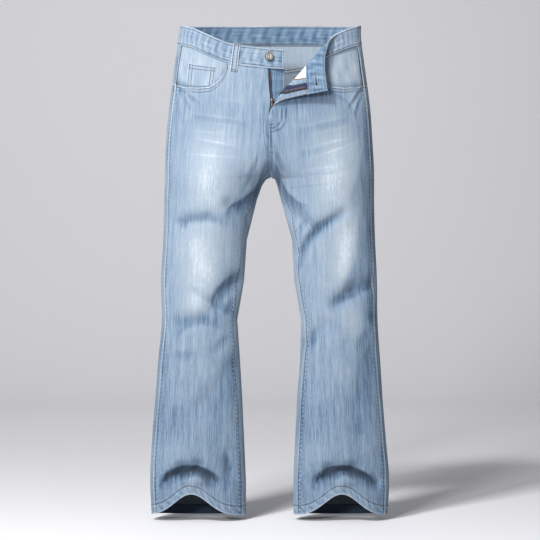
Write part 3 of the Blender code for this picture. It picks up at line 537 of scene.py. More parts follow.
def on_lapel(x, z, out):
    """A place on the left front, given as it lay before its corner was rolled out over the front."""
    x, z, out = np.broadcast_arrays(np.asarray(x, float), np.asarray(z, float), np.asarray(out, float))
    past, radius, along = past_roll(x, z)
    turn = np.clip(past / radius, 0, math.pi)
    beyond = np.maximum(past - math.pi * radius, 0.0)
    across = -radius + (radius - out) * np.sin(turn) - beyond
    height = radius - (radius - out) * np.cos(turn) + LAPEL_LIFT * beyond
    place = ROLL_LOW + ROLL_LINE * along[..., None] + ROLL_AWAY * across[..., None]
    px, pz = place[..., 0], place[..., 1]
    rolled = on_form(LEFT, front_angle(LEFT, px, pz), pz, height)
    angle = front_angle(LEFT, x, z)
    flat = cloth(LEFT, angle, z, out)
    fade = soft_step(-past / 12)[..., None]
    flat_plain = on_form(LEFT, angle, z, out)
    return np.where(past[..., None] <= 0, flat * fade + flat_plain * (1 - fade), rolled)


# ---------------------------------------------------------------- seams and edges


def side_seam(side, z, gap):
    """The angle of the side seam, moved back by a gap."""
    return np.arcsin(1 - SIDE_SEAM_FORWARD / half_width(side, z, True)) + gap / FRONT_BULGE(z)


def inner_edge(side, z, front, gap):
    """The angle of a panel's inner edge: the middle seam or fly edge above the crotch, the inseam below."""
    front = np.broadcast_to(front, np.shape(z))
    z = np.asarray(z, float)
    fly = front_angle(side, FLY_EDGE[side](z), z)
    middle = np.maximum(-np.arcsin(curve_share(z, front)), abs(gap) / FRONT_BULGE(z) - math.pi / 2)
    upper = np.where(front, np.where(z > MIDDLE_SEAM_TOP, fly, middle), math.pi - middle)
    settled = -np.arcsin(1 - INSEAM_FORWARD / half_width(side, z, True))
    lower = -math.pi / 2 + (settled + math.pi / 2) * soft_step((CROTCH - z) / 90) + gap / FRONT_BULGE(z)
    return np.where(z >= CROTCH, upper, np.where(front, lower, lower + 2 * math.pi))


def waist_drop(side, angle, edge):
    """How far the waistband's upper edge, or else its seam, lies below its place at the sides."""
    across = np.sin(angle)
    if side == RIGHT:
        front_drop = RIGHT_DIP(across)
    else:
        front_drop = LEFT_EDGE_DIP(across) if edge else LEFT_SEAM_DIP(across)
    return np.where(np.cos(angle) <= 0, -BACK_RISE * (1 - across**2), front_drop)


def band_edge(side, angle):
    return WAIST_TOP - waist_drop(side, angle, True)


def band_seam(side, angle):
    return WAIST_TOP - BAND_HEIGHT - waist_drop(side, angle, False)


def yoke_seam(angle):
    return YOKE_MIDDLE + (YOKE_SIDE - YOKE_MIDDLE) * np.abs(np.sin(angle))


def front_top(side, angle):
    """The upper edge of a front panel: the waistband's seam, then the pocket's mouth."""
    seam = band_seam(side, angle) - (SEAM_GAP if side == RIGHT else 2 * SEAM_GAP)
    distance = np.abs(np.sin(angle)) * OUTER[side](seam)
    return np.where(distance < POCKET_MOUTH[0][0], seam, np.minimum(seam, MOUTH(distance)))


def hem_shift(side, angle, z):
    """How far the cloth is drawn up over the instep, and drops at the back, towards the hem."""
    share = soft_step((HEM_ARCH_TOP - z) / (HEM_ARCH_TOP - HEM_LEVEL))
    across = np.sin(angle) - HEM_ARCH_MIDDLE[side]
    arch = np.exp(-((across / HEM_ARCH_WIDTH) ** 2)) - math.exp(-((1 / HEM_ARCH_WIDTH) ** 2))
    front = HEM_ARCH_HEIGHT * share * np.maximum(arch, 0) * soft_step(np.cos(angle) / 0.3)
    return np.where(np.cos(angle) <= 0, -BACK_HEM_DROP * share * np.cos(angle) ** 2, front)


def row_height(side, angle, z, top, first):
    """A panel's row at each angle: fitted to its top edge above, and to the hem below."""
    share = (z - first) / (SIDE_ROW - first)
    return np.where(z >= SIDE_ROW, top + share * (SIDE_ROW - top), z + hem_shift(side, angle, z))


def settle(angle_of, height_of, start):
    """Angles and heights that depend on each other."""
    height = start
    for _ in range(6):
        height = height_of(angle_of(height))
    return angle_of(height), height


def panel_rows(first):
    """Heights of a panel's rows, closer where the form changes fast."""
    steps = ((first, -195, 50), (-195, -300, 56), (-300, -332, 16), (-332, -890, 176), (-890, -1018, 54),
             (-1018, HEM_LEVEL, 27))
    return np.concatenate([np.linspace(a, b, count, endpoint=b == HEM_LEVEL) for a, b, count in steps])


def panel_grid(side, front, columns, rows):
    """The angles and heights of a panel's grid."""
    share, z = np.meshgrid(columns, rows)
    gap = -SEAM_GAP / 2 if front else SEAM_GAP / 2
    first = TOP_ROW if front else YOKE_ROW

    def angle_of(height):
        start = side_seam(side, height, gap)
        return start + share * (inner_edge(side, height, front, -gap) - start)

    def height_of(angle):
        top = front_top(side, angle) if front else yoke_seam(angle) - SEAM_GAP
        return row_height(side, angle, z, top, first)

    return settle(angle_of, height_of, z)


# ---------------------------------------------------------------- making meshes

made_sheets = []


def body_piece(name, points, faces, material, uv=None, marks=None, inside=None, second=None):
    """A mesh in metres that rides with the cloth body. inside marks the faces of the second material."""
    mesh = bpy.data.meshes.new(name)
    mesh.from_pydata((np.asarray(points) / 1000).tolist(), [], faces)
    mesh.materials.append(material)
    if second:
        mesh.materials.append(second)
        mesh.polygons.foreach_set("material_index", np.asarray(inside, np.int32))
    if uv is not None:
        corners = np.empty(len(mesh.loops), np.int32)
        mesh.loops.foreach_get("vertex_index", corners)
        layer = mesh.uv_layers.new(name="cloth")
        layer.data.foreach_set("uv", np.asarray(uv, np.float32)[corners].ravel())
    for mark, values in (marks or {}).items():
        mesh.attributes.new(mark, "FLOAT", "POINT").data.foreach_set("value", np.asarray(values, np.float32))
    mesh.shade_smooth()
    piece = bpy.data.objects.new(name, mesh)
    bpy.context.scene.collection.objects.link(piece)
    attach(piece, "jeans")
    return piece


def grid_faces(rows, columns, start, flip, ring):
    r, c = np.meshgrid(np.arange(rows - 1), np.arange(columns if ring else columns - 1), indexing="ij")
    right = (c + 1) % columns
    loop = [start + r * columns + c, start + r * columns + right,
            start + (r + 1) * columns + right, start + (r + 1) * columns + c]
    return np.stack(loop[::-1] if flip else loop, -1).reshape(-1, 4)


def leg_middle(side, z):
    """The line down a leg that the cloth's grain follows."""
    return side * np.interp(-z, (0, 330, 1060), (112, 134, 158))


def grain(side, outer):
    """Cloth coordinates of a leg panel, measured round it from its leg's middle line, and its height."""
    run = run_of(np.linalg.norm(np.diff(outer[..., :2], axis=1), axis=-1), 1)
    heights = outer[..., 2]
    away = outer[..., 0] - leg_middle(side, heights)
    u = np.empty_like(run)
    for row, (along, offset) in enumerate(zip(run, away)):
        nearest = int(np.argmin(np.abs(offset)))
        sign = 1.0 if offset[-1] > offset[0] else -1.0
        u[row] = (along - along[nearest]) * sign + offset[nearest]
    return u, heights


def edge_loops(index, ring):
    """The edges of a grid of points, each loop with the row of points just inside it."""
    if ring:
        return [(index[0], index[1]), (index[-1][::-1], index[-2][::-1])]
    rim = np.concatenate((index[0], index[1:, -1], index[-1, -2::-1], index[-2:0:-1, 0]))
    near = np.concatenate((index[1], index[1:, -2], index[-2, -2::-1], index[-2:0:-1, 1]))
    return [(rim, near)]


def run_of(steps, axis):
    """The distance run so far at each point of a grid, from its steps along an axis."""
    start = np.zeros_like(steps[:, :1] if axis else steps[:1])
    return np.concatenate((start, np.cumsum(steps, axis)), axis)


def flat_size(outer, across, down, ring):
    """A sheet's net cut: its longest row, its longest column and its area, in metres."""
    corner = outer[:-1, :-1]
    area = np.linalg.norm(np.cross(outer[:-1, 1:] - corner, outer[1:, :-1] - corner), axis=-1).sum() / 1e6
    if ring:
        across = np.concatenate((across, np.linalg.norm(outer[:, :1] - outer[:, -1:], axis=-1)), 1)
        area *= outer.shape[1] / (outer.shape[1] - 1)
    return across.sum(1).max() / 1000, down.sum(0).max() / 1000, area


def shell(name, outer, inner, material, second=None, marks=None, ring=False, edge_round=0.45, leg=None, cut=None,
          along=False, inside_shade=None):
    """A thin closed cloth from two grids of points, with rounded edges.

    second is the finish of its inner face. A leg panel's grain follows the leg, from the cut's places before
    any corner was folded; along turns the grain to run across the rows. inside_shade darkens the inner face with
    painted shade.
    """
    rows, columns = outer.shape[:2]
    count = rows * columns
    index = np.arange(count).reshape(rows, columns)
    flat_outer, flat_inner = outer.reshape(-1, 3), inner.reshape(-1, 3)
    points, origin = [flat_outer, flat_inner], [np.arange(count), np.arange(count)]
    faces = [grid_faces(rows, columns, 0, False, ring), grid_faces(rows, columns, count, True, ring)]
    inside = [np.zeros(len(faces[0]), int), np.ones(len(faces[1]), int)]
    total = 2 * count
    for rim, near in edge_loops(index, ring):
        thick = np.linalg.norm(flat_outer[rim] - flat_inner[rim], axis=-1, keepdims=True)
        away = flat_outer[rim] - flat_outer[near]
        away /= np.maximum(np.linalg.norm(away, axis=-1, keepdims=True), 1e-6)
        middle = (flat_outer[rim] + flat_inner[rim]) / 2 + away * thick * edge_round
        mid = total + np.arange(len(rim))
        total += len(rim)
        points.append(middle)
        origin.append(rim)
        following = np.roll(np.arange(len(rim)), -1)
        faces.append(np.stack((rim[following], rim, mid, mid[following]), -1))
        faces.append(np.stack((mid[following], mid, count + rim, count + rim[following]), -1))
        inside += [np.zeros(len(rim), int), np.ones(len(rim), int)]
    points, origin = np.concatenate(points), np.concatenate(origin)
    faces, inside = np.concatenate(faces), np.concatenate(inside)
    row, column = rows // 2, columns // 2
    square = np.cross(outer[row, column] - outer[row, column - 1], outer[row, column] - outer[row - 1, column])
    if square @ (outer - inner)[row, column] > 0:
        faces = faces[:, ::-1]
    across = np.linalg.norm(np.diff(outer, axis=1), axis=-1)
    down = np.linalg.norm(np.diff(outer, axis=0), axis=-1)
    u, v = run_of(across, 1), run_of(down, 0)
    u = u - u[:, column: column + 1]
    v = -0.5 * v - 0.5 * v.mean(1, keepdims=True)
    if along:
        u, v = v, u
    if leg is not None:
        u, v = grain(leg, outer if cut is None else cut)
    uv = np.stack((u, v), -1).reshape(-1, 2)[origin] / 1000
    spread = {mark: np.broadcast_to(values, (rows, columns)).reshape(-1)[origin]
              for mark, values in (marks or {}).items()}
    if inside_shade is not None:
        spread["faded"] = spread["faded"].copy()
        spread["faded"][count:2 * count] -= inside_shade.reshape(-1)
    piece = body_piece(name, points, faces.tolist(), material, uv, spread, inside, second or material)
    piece["flat"] = flat_size(outer, across, down, ring)
    return piece


def declare(piece):
    """States a cloth piece: hides the node it is named for, and lists its net cut inside the seams."""
    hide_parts(piece.name.removesuffix("_cloth"))
    width, length, area = piece["flat"]
    made_sheets.append([piece.name, round(width, 3), round(length, 3), round(area, 5)])


# ---------------------------------------------------------------- materials


def group(name, inputs, outputs):
    """A shared shader effect with named inputs and outputs."""
    tree = bpy.data.node_groups.new(name, "ShaderNodeTree")
    for label, kind, value in inputs:
        made = tree.interface.new_socket(label, in_out="INPUT", socket_type=kind)
        if value is not None:
            made.default_value = value
    for label, kind in outputs:
        tree.interface.new_socket(label, in_out="OUTPUT", socket_type=kind)
    return tree, tree.nodes.new("NodeGroupInput"), tree.nodes.new("NodeGroupOutput")


def node(tree, kind, links=None, **values):
    """A node with its settings, and its inputs set to numbers or linked to other outputs."""
    made = tree.nodes.new(kind)
    for key, value in values.items():
        setattr(made, key, value)
    for key, value in (links or {}).items():
        socket = made.inputs[key]
        if isinstance(value, bpy.types.NodeSocket):
            tree.links.new(value, socket)
        else:
            socket.default_value = value
    return made


def math_node(tree, operation, first, second=0.0, third=0.0):
    return node(tree, "ShaderNodeMath", {0: first, 1: second, 2: third}, operation=operation).outputs[0]


def noise(tree, at, scale, detail, **more):
    """An uneven pattern at a place that was scaled before, or by the number given."""
    links = {"Vector": at, "Scale": scale, "Detail": detail, **more}
    return node(tree, "ShaderNodeTexNoise", links).outputs["Fac"]


def stretched(tree, at, across, along):
    """The cloth's coordinates scaled unevenly, for streaks and yarns that run along the grain."""
    return node(tree, "ShaderNodeMapping", {"Vector": at, "Scale": (across, along, 1.0)}).outputs[0]


def sum_of(tree, first, first_share, second, second_share):
    """Two patterns added in given shares."""
    return math_node(tree, "ADD", math_node(tree, "MULTIPLY", first, first_share),
                     math_node(tree, "MULTIPLY", second, second_share))


def new_finish(name):
    """A new material, its node tree and its shader."""
    material = bpy.data.materials.new(name)
    material.use_nodes = True
    return material, material.node_tree, material.node_tree.nodes["Principled BSDF"]


def two_tones(tree, shader, pattern, dark, light, low, high):
    """The shader's colour, from dark where a pattern is at its low to light where it is at its high."""
    ramp = node(tree, "ShaderNodeValToRGB", {"Fac": pattern})
    ends = ramp.color_ramp.elements
    ends[0].color, ends[1].color = (*dark, 1), (*light, 1)
    ends[0].position, ends[1].position = low, high
    tree.links.new(ramp.outputs["Color"], shader.inputs["Base Color"])


def bumped(tree, shader, height, strength, distance):
    """A pattern raised by a distance in metres."""
    links = {"Height": height, "Strength": strength, "Distance": distance}
    tree.links.new(node(tree, "ShaderNodeBump", links).outputs[0], shader.inputs["Normal"])


def mapped(tree, value, low, high, to_low=0.0, to_high=1.0):
    links = {"Value": value, "From Min": low, "From Max": high, "To Min": to_low, "To Max": to_high}
    return node(tree, "ShaderNodeMapRange", links, interpolation_type="SMOOTHSTEP").outputs["Result"]


TWILL_ANGLE = math.radians(58)


def weave_group():
    """Denim's twill lines and uneven yarns, as a height and as a mask of the white yarns that show."""
    tree, start, end = group("denim_weave", [("Cloth", "NodeSocketVector", None)],
                             [("Height", "NodeSocketFloat"), ("Yarns", "NodeSocketFloat"),
                              ("Streaks", "NodeSocketFloat")])
    at = start.outputs["Cloth"]
    twill_at = node(tree, "ShaderNodeMapping", {"Vector": at, "Scale": (1.0, 1.0, 1.0),
                                                "Rotation": (0, 0, TWILL_ANGLE)}).outputs[0]
    twill = node(tree, "ShaderNodeTexWave", {"Vector": twill_at, "Scale": 210.0, "Distortion": 1.2,
                                             "Detail": 2.0, "Detail Scale": 1.5},
                 wave_type="BANDS", bands_direction="X").outputs["Fac"]
    yarns = noise(tree, stretched(tree, at, 1500.0, 90.0), 1.0, 2.0)
    narrow = noise(tree, stretched(tree, at, 600.0, 20.0), 1.0, 3.0, Roughness=0.62)
    wide = noise(tree, stretched(tree, at, 110.0, 5.0), 1.0, 2.0)
    both = sum_of(tree, narrow, 0.7, wide, 0.3)
    height = sum_of(tree, twill, 0.5, yarns, 0.8)
    tree.links.new(height, end.inputs["Height"])
    tree.links.new(yarns, end.inputs["Yarns"])
    tree.links.new(both, end.inputs["Streaks"])
    return tree


def wash_group():
    """How far a place goes from blue to white: wash patches, streaks, yarns, rubbed edges and painted shade."""
    tree, start, end = group("denim_wash",
                             [("Faded", "NodeSocketFloat", 0.0), ("Worn", "NodeSocketFloat", 0.0),
                              ("Streaks", "NodeSocketFloat", 0.5), ("Yarns", "NodeSocketFloat", 0.5),
                              ("Streakiness", "NodeSocketFloat", 0.30), ("Cloth", "NodeSocketVector", None)],
                             [("Whiteness", "NodeSocketFloat")])
    cloud = noise(tree, start.outputs["Cloth"], 9.0, 3.0)
    streaks = mapped(tree, start.outputs["Streaks"], 0.34, 0.66, -0.5, 0.5)
    calm = mapped(tree, start.outputs["Faded"], 0.45, 0.8, 1.0, 0.4)
    streaks = math_node(tree, "MULTIPLY", streaks, calm)
    total = math_node(tree, "MULTIPLY_ADD", streaks, start.outputs["Streakiness"], start.outputs["Faded"])
    yarns = mapped(tree, start.outputs["Yarns"], 0.3, 0.7, -0.5, 0.5)
    total = math_node(tree, "MULTIPLY_ADD", yarns, 0.12, total)
    total = math_node(tree, "MULTIPLY_ADD", mapped(tree, cloud, 0.3, 0.7, -0.5, 0.5), 0.12, total)
    total = math_node(tree, "ADD", total, start.outputs["Worn"])
    tree.links.new(math_node(tree, "MINIMUM", math_node(tree, "MAXIMUM", total, 0.0), 1.0),
                   end.inputs["Whiteness"])
    return tree


WEAVE, WASH = weave_group(), wash_group()


def denim(name, deep, middle, pale, worn_white, streaky=0.31, bump=0.5):
    """Washed denim: from painted shade below deep blue to the white of rubbed edges, by the wash and painted
    shade marks on the cloth.
    """
    material, tree, shader = new_finish(name)
    at = node(tree, "ShaderNodeUVMap", uv_map="cloth").outputs[0]
    faded, worn = (node(tree, "ShaderNodeAttribute", attribute_name=mark).outputs["Fac"]
                   for mark in ("faded", "worn"))
    weave = node(tree, "ShaderNodeGroup", node_tree=WEAVE)
    tree.links.new(at, weave.inputs["Cloth"])
    wash = node(tree, "ShaderNodeGroup", node_tree=WASH)
    for label, value in (("Faded", faded), ("Worn", worn), ("Streaks", weave.outputs["Streaks"]),
                         ("Yarns", weave.outputs["Yarns"]), ("Cloth", at)):
        tree.links.new(value, wash.inputs[label])
    wash.inputs["Streakiness"].default_value = streaky
    ramp = node(tree, "ShaderNodeValToRGB", {"Fac": wash.outputs["Whiteness"]})
    stops = ramp.color_ramp.elements
    # The first stop, a third of the deep blue, is painted shade, for cloth that the marks darken past its
    # deepest dye.
    stops[0].color, stops[1].color = (*(0.35 * tone for tone in deep), 1), (*worn_white, 1)
    stops.new(0.16).color = (*deep, 1)
    stops.new(0.42).color = (*middle, 1)
    stops.new(0.80).color = (*pale, 1)
    tree.links.new(ramp.outputs["Color"], shader.inputs["Base Color"])
    rough = mapped(tree, weave.outputs["Yarns"], 0.2, 0.8, 0.95, 0.78)
    tree.links.new(rough, shader.inputs["Roughness"])
    shader.inputs["Specular IOR Level"].default_value = 0.18
    shader.inputs["Sheen Weight"].default_value = 0.12
    shader.inputs["Sheen Roughness"].default_value = 0.6
    bumped(tree, shader, weave.outputs["Height"], bump, 0.0004)
    return material


def thread(name, colour, dark):
    """Sewing thread: twisted plies along each stitch."""
    material, tree, shader = new_finish(name)
    at = node(tree, "ShaderNodeTexCoord").outputs["Object"]
    plies = noise(tree, at, 900.0, 1.0)
    two_tones(tree, shader, plies, dark, colour, 0.3, 0.62)
    shader.inputs["Roughness"].default_value = 0.6
    bumped(tree, shader, plies, 0.4, 0.0002)
    return material


def woven(name, colour, dark, along=500.0, sheen=0.15):
    """A plain woven cloth, for the pocket bag and the zip's tape. along sets its yarns lengthways."""
    material, tree, shader = new_finish(name)
    at = node(tree, "ShaderNodeUVMap", uv_map="cloth").outputs[0]
    yarns = noise(tree, stretched(tree, at, 1400.0, along), 1.0, 2.0)
    ribs = node(tree, "ShaderNodeTexWave", {"Vector": at, "Scale": 160.0, "Distortion": 0.6},
                wave_type="BANDS", bands_direction="X").outputs["Fac"]
    both = sum_of(tree, yarns, 0.7, ribs, 0.3)
    two_tones(tree, shader, both, dark, colour, 0.25, 0.6)
    shader.inputs["Roughness"].default_value = 0.85
    shader.inputs["Sheen Weight"].default_value = sheen
    shader.inputs["Specular IOR Level"].default_value = 0.2
    bumped(tree, shader, both, 0.5, 0.0003)
    return material


def metal(name, colour, dark, roughness):
    """Plated metal with wear: darker and lighter in uneven patches, and lightly scuffed."""
    material, tree, shader = new_finish(name)
    at = node(tree, "ShaderNodeTexCoord").outputs["Object"]
    scuffs = noise(tree, at, 420.0, 4.0, Roughness=0.6)
    two_tones(tree, shader, scuffs, dark, colour, 0.32, 0.62)
    shader.inputs["Metallic"].default_value = 1.0
    dull = mapped(tree, scuffs, 0.3, 0.7, roughness + 0.14, roughness - 0.08)
    tree.links.new(dull, shader.inputs["Roughness"])
    bumped(tree, shader, scuffs, 0.15, 0.0002)
    return material


WORN_WHITE = (0.50, 0.55, 0.60)
OUTSIDE = denim("denim_outside", (0.062, 0.108, 0.176), (0.152, 0.215, 0.292), (0.290, 0.342, 0.398),
                WORN_WHITE)
TRIM = denim("denim_trim", (0.060, 0.100, 0.168), (0.145, 0.205, 0.280), (0.270, 0.330, 0.392), WORN_WHITE)
# Painted shade: the outside denim made darker, for the faces in shade inside the waistband, behind the fly and
# inside the hems.
PAINTED_SHADE_DENIM = denim("denim_band_inside", (0.038, 0.072, 0.128), (0.092, 0.155, 0.240), (0.210, 0.290, 0.380),
                    WORN_WHITE)
REVERSE = denim("denim_reverse", (0.130, 0.165, 0.205), (0.235, 0.292, 0.358), (0.360, 0.425, 0.490),
                WORN_WHITE, streaky=0.12, bump=0.4)
COTTON = woven("cotton_bag", (0.80, 0.81, 0.80), (0.64, 0.65, 0.64))
TAPE = woven("tape_navy", (0.024, 0.032, 0.075), (0.006, 0.009, 0.024), along=1400.0, sheen=0.02)
PALE_THREAD = thread("thread_pale", (0.36, 0.35, 0.33), (0.20, 0.19, 0.18))
GREY_THREAD = thread("thread_grey", (0.135, 0.105, 0.092), (0.055, 0.045, 0.045))
TAN_THREAD = thread("thread_tan", (0.30, 0.20, 0.115), (0.14, 0.09, 0.05))
BROWN_THREAD = thread("thread_brown", (0.17, 0.095, 0.050), (0.065, 0.038, 0.022))
COPPER = metal("copper_worn", (0.24, 0.145, 0.10), (0.06, 0.036, 0.026), 0.42)
NICKEL = metal("nickel_aged", (0.23, 0.22, 0.205), (0.065, 0.06, 0.055), 0.42)

# ---------------------------------------------------------------- the panels


def rubbed_rim(distance, strength=0.30, width=1.7):
    """White wear at a folded edge."""
    return strength * np.exp(-((distance / width) ** 2))


def stitch_groove(distance, depth=0.30, width=1.2):
    """The dark line where a row of stitches draws the cloth in, with paler cloth on each side."""
    away = distance / width
    return 0.4 * depth * np.exp(-((away / 3.0) ** 2)) - 1.4 * depth * np.exp(-(away**2))


# Grooves of the fly's curved rows and of the rows beside the middle seam, as strokes on the panels.
SEWN_ROWS = {
    # from x, from z, to x, to z, half width, strength
    (RIGHT, "front"): (
        (-8, -186, -6, -306, 1.6, -0.30),
    ),
    (LEFT, "front"): (
        (23.5, -166, 21.5, -194, 1.5, -0.34),
        (21.5, -194, 12, -207, 1.5, -0.34),
        (12, -207, -3, -211, 1.5, -0.34),
        (33, -166, 31, -194, 1.5, -0.34),
        (31, -194, 22, -211, 1.5, -0.34),
        (22, -211, -3, -219, 1.5, -0.34),
        (-2, -190, 2, -306, 1.6, -0.36),
        (27.5, -166, 26, -194, 2.0, 0.14),
        (26, -194, 16, -210, 2.0, 0.14),
    ),
}


def panel_marks(side, angle, z):
    """A panel's wash with its painted shade, and its rubbed edges and ridges, with painted shade in its creases.
    """
    front = np.cos(angle) > 0
    x = x_at(side, angle, z)
    # Wash patches and lines with painted shade in creases and on shaded sides, less the painted shade of the
    # bends and the folded corner's shadow, plus the pale patches.
    faded = strokes(WASH_AND_SHADE_LINES, side, front, x, z) - bends(PAINTED_SHADE_AND_PALE_PATCHES, side, front, x, z)
    to_side, to_inner = seam_gaps(side, angle, z)
    below = soft_step((CROTCH - z) / 60)
    overall = 0.53 - 0.12 * soft_step((KNEE - z) / 240)
    sides = 0.10 * np.exp(-((np.abs(to_side) / 30) ** 2))
    sides = sides + 0.08 * below * np.exp(-((np.abs(to_inner) / 26) ** 2))
    middle = 0.08 * np.exp(-((x / 36) ** 2)) * (1 - below)
    # Paler on the fine relief's ridges, where it rubs, and darker in its creases, there partly painted shade.
    worn = 0.09 * np.clip(fine(side, angle, z), -1.2, 0.9)
    for gap, share in ((to_side, 1.0), (to_inner, below)):
        gap = np.abs(gap)
        worn += share * (rubbed_rim(gap, 0.26) + stitch_groove(gap - 4.4, 0.26, 1.4))
        worn += share * 0.12 * np.exp(-(((gap - 8) / 6) ** 2)) * waves(z * 0.75, gap * 3)
    roping = np.maximum(waves(z * 0.7 + np.abs(to_inner) * 0.4, z * 0.4), 0)
    beside = np.exp(-(((np.abs(to_inner) - 9) / 3.5) ** 2))
    worn -= below * 0.42 * soft_step((-500 - z) / 260) * beside * roping
    above_hem = z - HEM_LEVEL - hem_shift(side, angle, np.full_like(z, HEM_LEVEL))
    roped = waves((x + above_hem * 0.8) * 0.42, x * 0.3)
    worn += rubbed_rim(above_hem, 0.36, 2.2) + 0.12 * roped * np.exp(-(((above_hem - 11) / 9) ** 2))
    worn += stitch_groove(above_hem - 19.5, 0.30, 1.5)
    top = front_top(side, angle) - z
    mouth = rubbed_rim(top, 0.34, 1.8) + stitch_groove(top - 3.4, 0.26) + stitch_groove(top - 10.0, 0.22)
    seat = stitch_groove(yoke_seam(angle) - z - 2.4, 0.22) + stitch_groove(yoke_seam(angle) - z - 8.0, 0.2)
    # Under the waistband the rim is darker instead of paler, beside the seam's groove.
    seam_line = rubbed_rim(top, -0.16, 2.4) + stitch_groove(top - 3.0, 0.16)
    under_band = np.abs(x) < POCKET_MOUTH[0][0]
    mouth = np.where(under_band, seam_line, mouth)
    worn += np.where(front, mouth, seat) + strokes(SEWN_ROWS, side, front, x, z)
    return {"faded": np.clip(overall + faded - sides - middle, -0.3, 0.9), "worn": worn}


def plain_panel(name, side, front, count):
    """A right front or a back: its reverse is darkened towards the hem, painted shade inside the leg."""
    angle, z = panel_grid(side, front, np.linspace(0, 1, count), panel_rows(TOP_ROW if front else YOKE_ROW))
    piece = shell(name, cloth(side, angle, z), cloth(side, angle, z, -SHELL), OUTSIDE, REVERSE,
                  panel_marks(side, angle, z), leg=side, inside_shade=0.8 * soft_step((-940 - z) / 50))
    declare(piece)


def left_front_panel():
    """The left front, with its corner rolled out, and its columns closer near the fly."""
    spread = np.linspace(0, 1, 122)
    columns = spread + 0.22 * spread * (1 - spread)
    angle, z = panel_grid(LEFT, True, columns, panel_rows(TOP_ROW))
    x = x_at(LEFT, angle, z)
    rolled = (z > SIDE_ROW)[..., None]
    outer, inner = (np.where(rolled, on_lapel(x, z, out), cloth(LEFT, angle, z, out)) for out in (0.0, -SHELL))
    marks = panel_marks(LEFT, angle, z)
    edge = np.abs(x - FLY_EDGE[LEFT](z))
    marks["worn"] = marks["worn"] + np.where(z > -190, 0.25 * np.exp(-((edge / 1.4) ** 2)), 0)
    piece = shell("front_left_cloth", outer, inner, OUTSIDE, REVERSE, marks, leg=LEFT,
                  cut=cloth(LEFT, angle, z))
    declare(piece)


def yoke_cloth(name, side):
    share, down = np.meshgrid(np.linspace(0, 1, 90), np.linspace(0, 1, 26))

    def angle_of(height):
        start = side_seam(side, height, SEAM_GAP / 2)
        return start + share * (inner_edge(side, height, False, 0) - start)

    def height_of(angle):
        top = band_seam(side, angle) - SEAM_GAP
        return top + down * (yoke_seam(angle) - top)

    angle, z = settle(angle_of, height_of, np.full_like(share, YOKE_SIDE - 1))
    near_seams = np.exp(-((down * 4) ** 2)) + np.exp(-(((1 - down) * 4) ** 2))
    pucker = 0.25 * waves(x_at(side, angle, z) * 0.5, z) * near_seams
    outer, inner = on_form(side, angle, z, pucker), on_form(side, angle, z, pucker - SHELL)
    piece = shell(name, outer, inner, OUTSIDE, REVERSE, {"faded": 0.50, "worn": 0.3 * pucker})
    declare(piece)


# ---------------------------------------------------------------- the waistband and its loops


def band_relief(across_mm, share):
    """The waistband's puckers between its rows of stitching."""
    return 0.22 * waves(across_mm * 0.42, share * 30) * np.sin(math.pi * share) ** 0.5


def band_marks(across_mm, share):
    down = share * BAND_HEIGHT
    rubbed = rubbed_rim(down, 0.24, 1.8) + rubbed_rim(BAND_HEIGHT - down, 0.20, 1.6)
    rubbed = rubbed + stitch_groove(down - 4.0, 0.18) + stitch_groove(BAND_HEIGHT - down - 3.6, 0.30)
    worn = rubbed + 0.9 * band_relief(across_mm, share)
    return {"faded": 0.46 + 0.05 * waves(across_mm * 0.05, share), "worn": worn}


def back_band_place(column, share, out):
    side_points = []
    for side in (RIGHT, LEFT):
        start = side_seam(side, np.zeros_like(column), SEAM_GAP / 2)
        angle = math.pi + (start - math.pi) * np.abs(column)
        low, high = band_seam(side, angle), band_edge(side, angle)
        side_points.append(on_form(side, angle, high + share * (low - high), out))
    return np.where((column < 0)[..., None], side_points[0], side_points[1])


def right_band_place(column, share, out):
    start = side_seam(RIGHT, np.zeros_like(column), -SEAM_GAP / 2)
    angle = start + column * (front_angle(RIGHT, 27.0, -50.0) - start)
    low, high = band_seam(RIGHT, angle), band_edge(RIGHT, angle)
    return on_form(RIGHT, angle, high + share * (low - high), out)


def left_band_flat(column, share):
    start = side_seam(LEFT, np.zeros_like(column), -SEAM_GAP / 2)
    angle = start + column * (front_angle(LEFT, 12.0, -60.0) - start)
    low, high = band_seam(LEFT, angle), band_edge(LEFT, angle)
    height = high + share * (low - high)
    return OUTER[LEFT](height) - half_width(LEFT, height, True) * (1 - np.sin(angle)), height


def left_band_place(column, share, out):
    return on_lapel(*left_band_flat(column, share), out)


def band_cloth(name, place, start, end, count, width_mm):
    column, share = np.meshgrid(np.linspace(start, end, count), np.linspace(0, 1, 29))
    across = (column - start) * width_mm
    swell = band_relief(across, share)
    outer, inner = place(column, share, BAND_FACE + swell), place(column, share, BAND_LINING - 0.25 * swell)
    marks = band_marks(across, share)
    if "back" not in name:
        marks["worn"] = marks["worn"] + rubbed_rim((1 - column) * width_mm, 0.30, 2.0)
    piece = shell(name, outer, inner, OUTSIDE, PAINTED_SHADE_DENIM, marks, edge_round=0.28, along=True)
    declare(piece)


def loop_stand(down, bow=LOOP_BOW):
    """How far a belt loop stands off between its sewn ends."""
    return bow * np.sin(math.pi * np.minimum(down / 0.75, 1.0)) ** 2


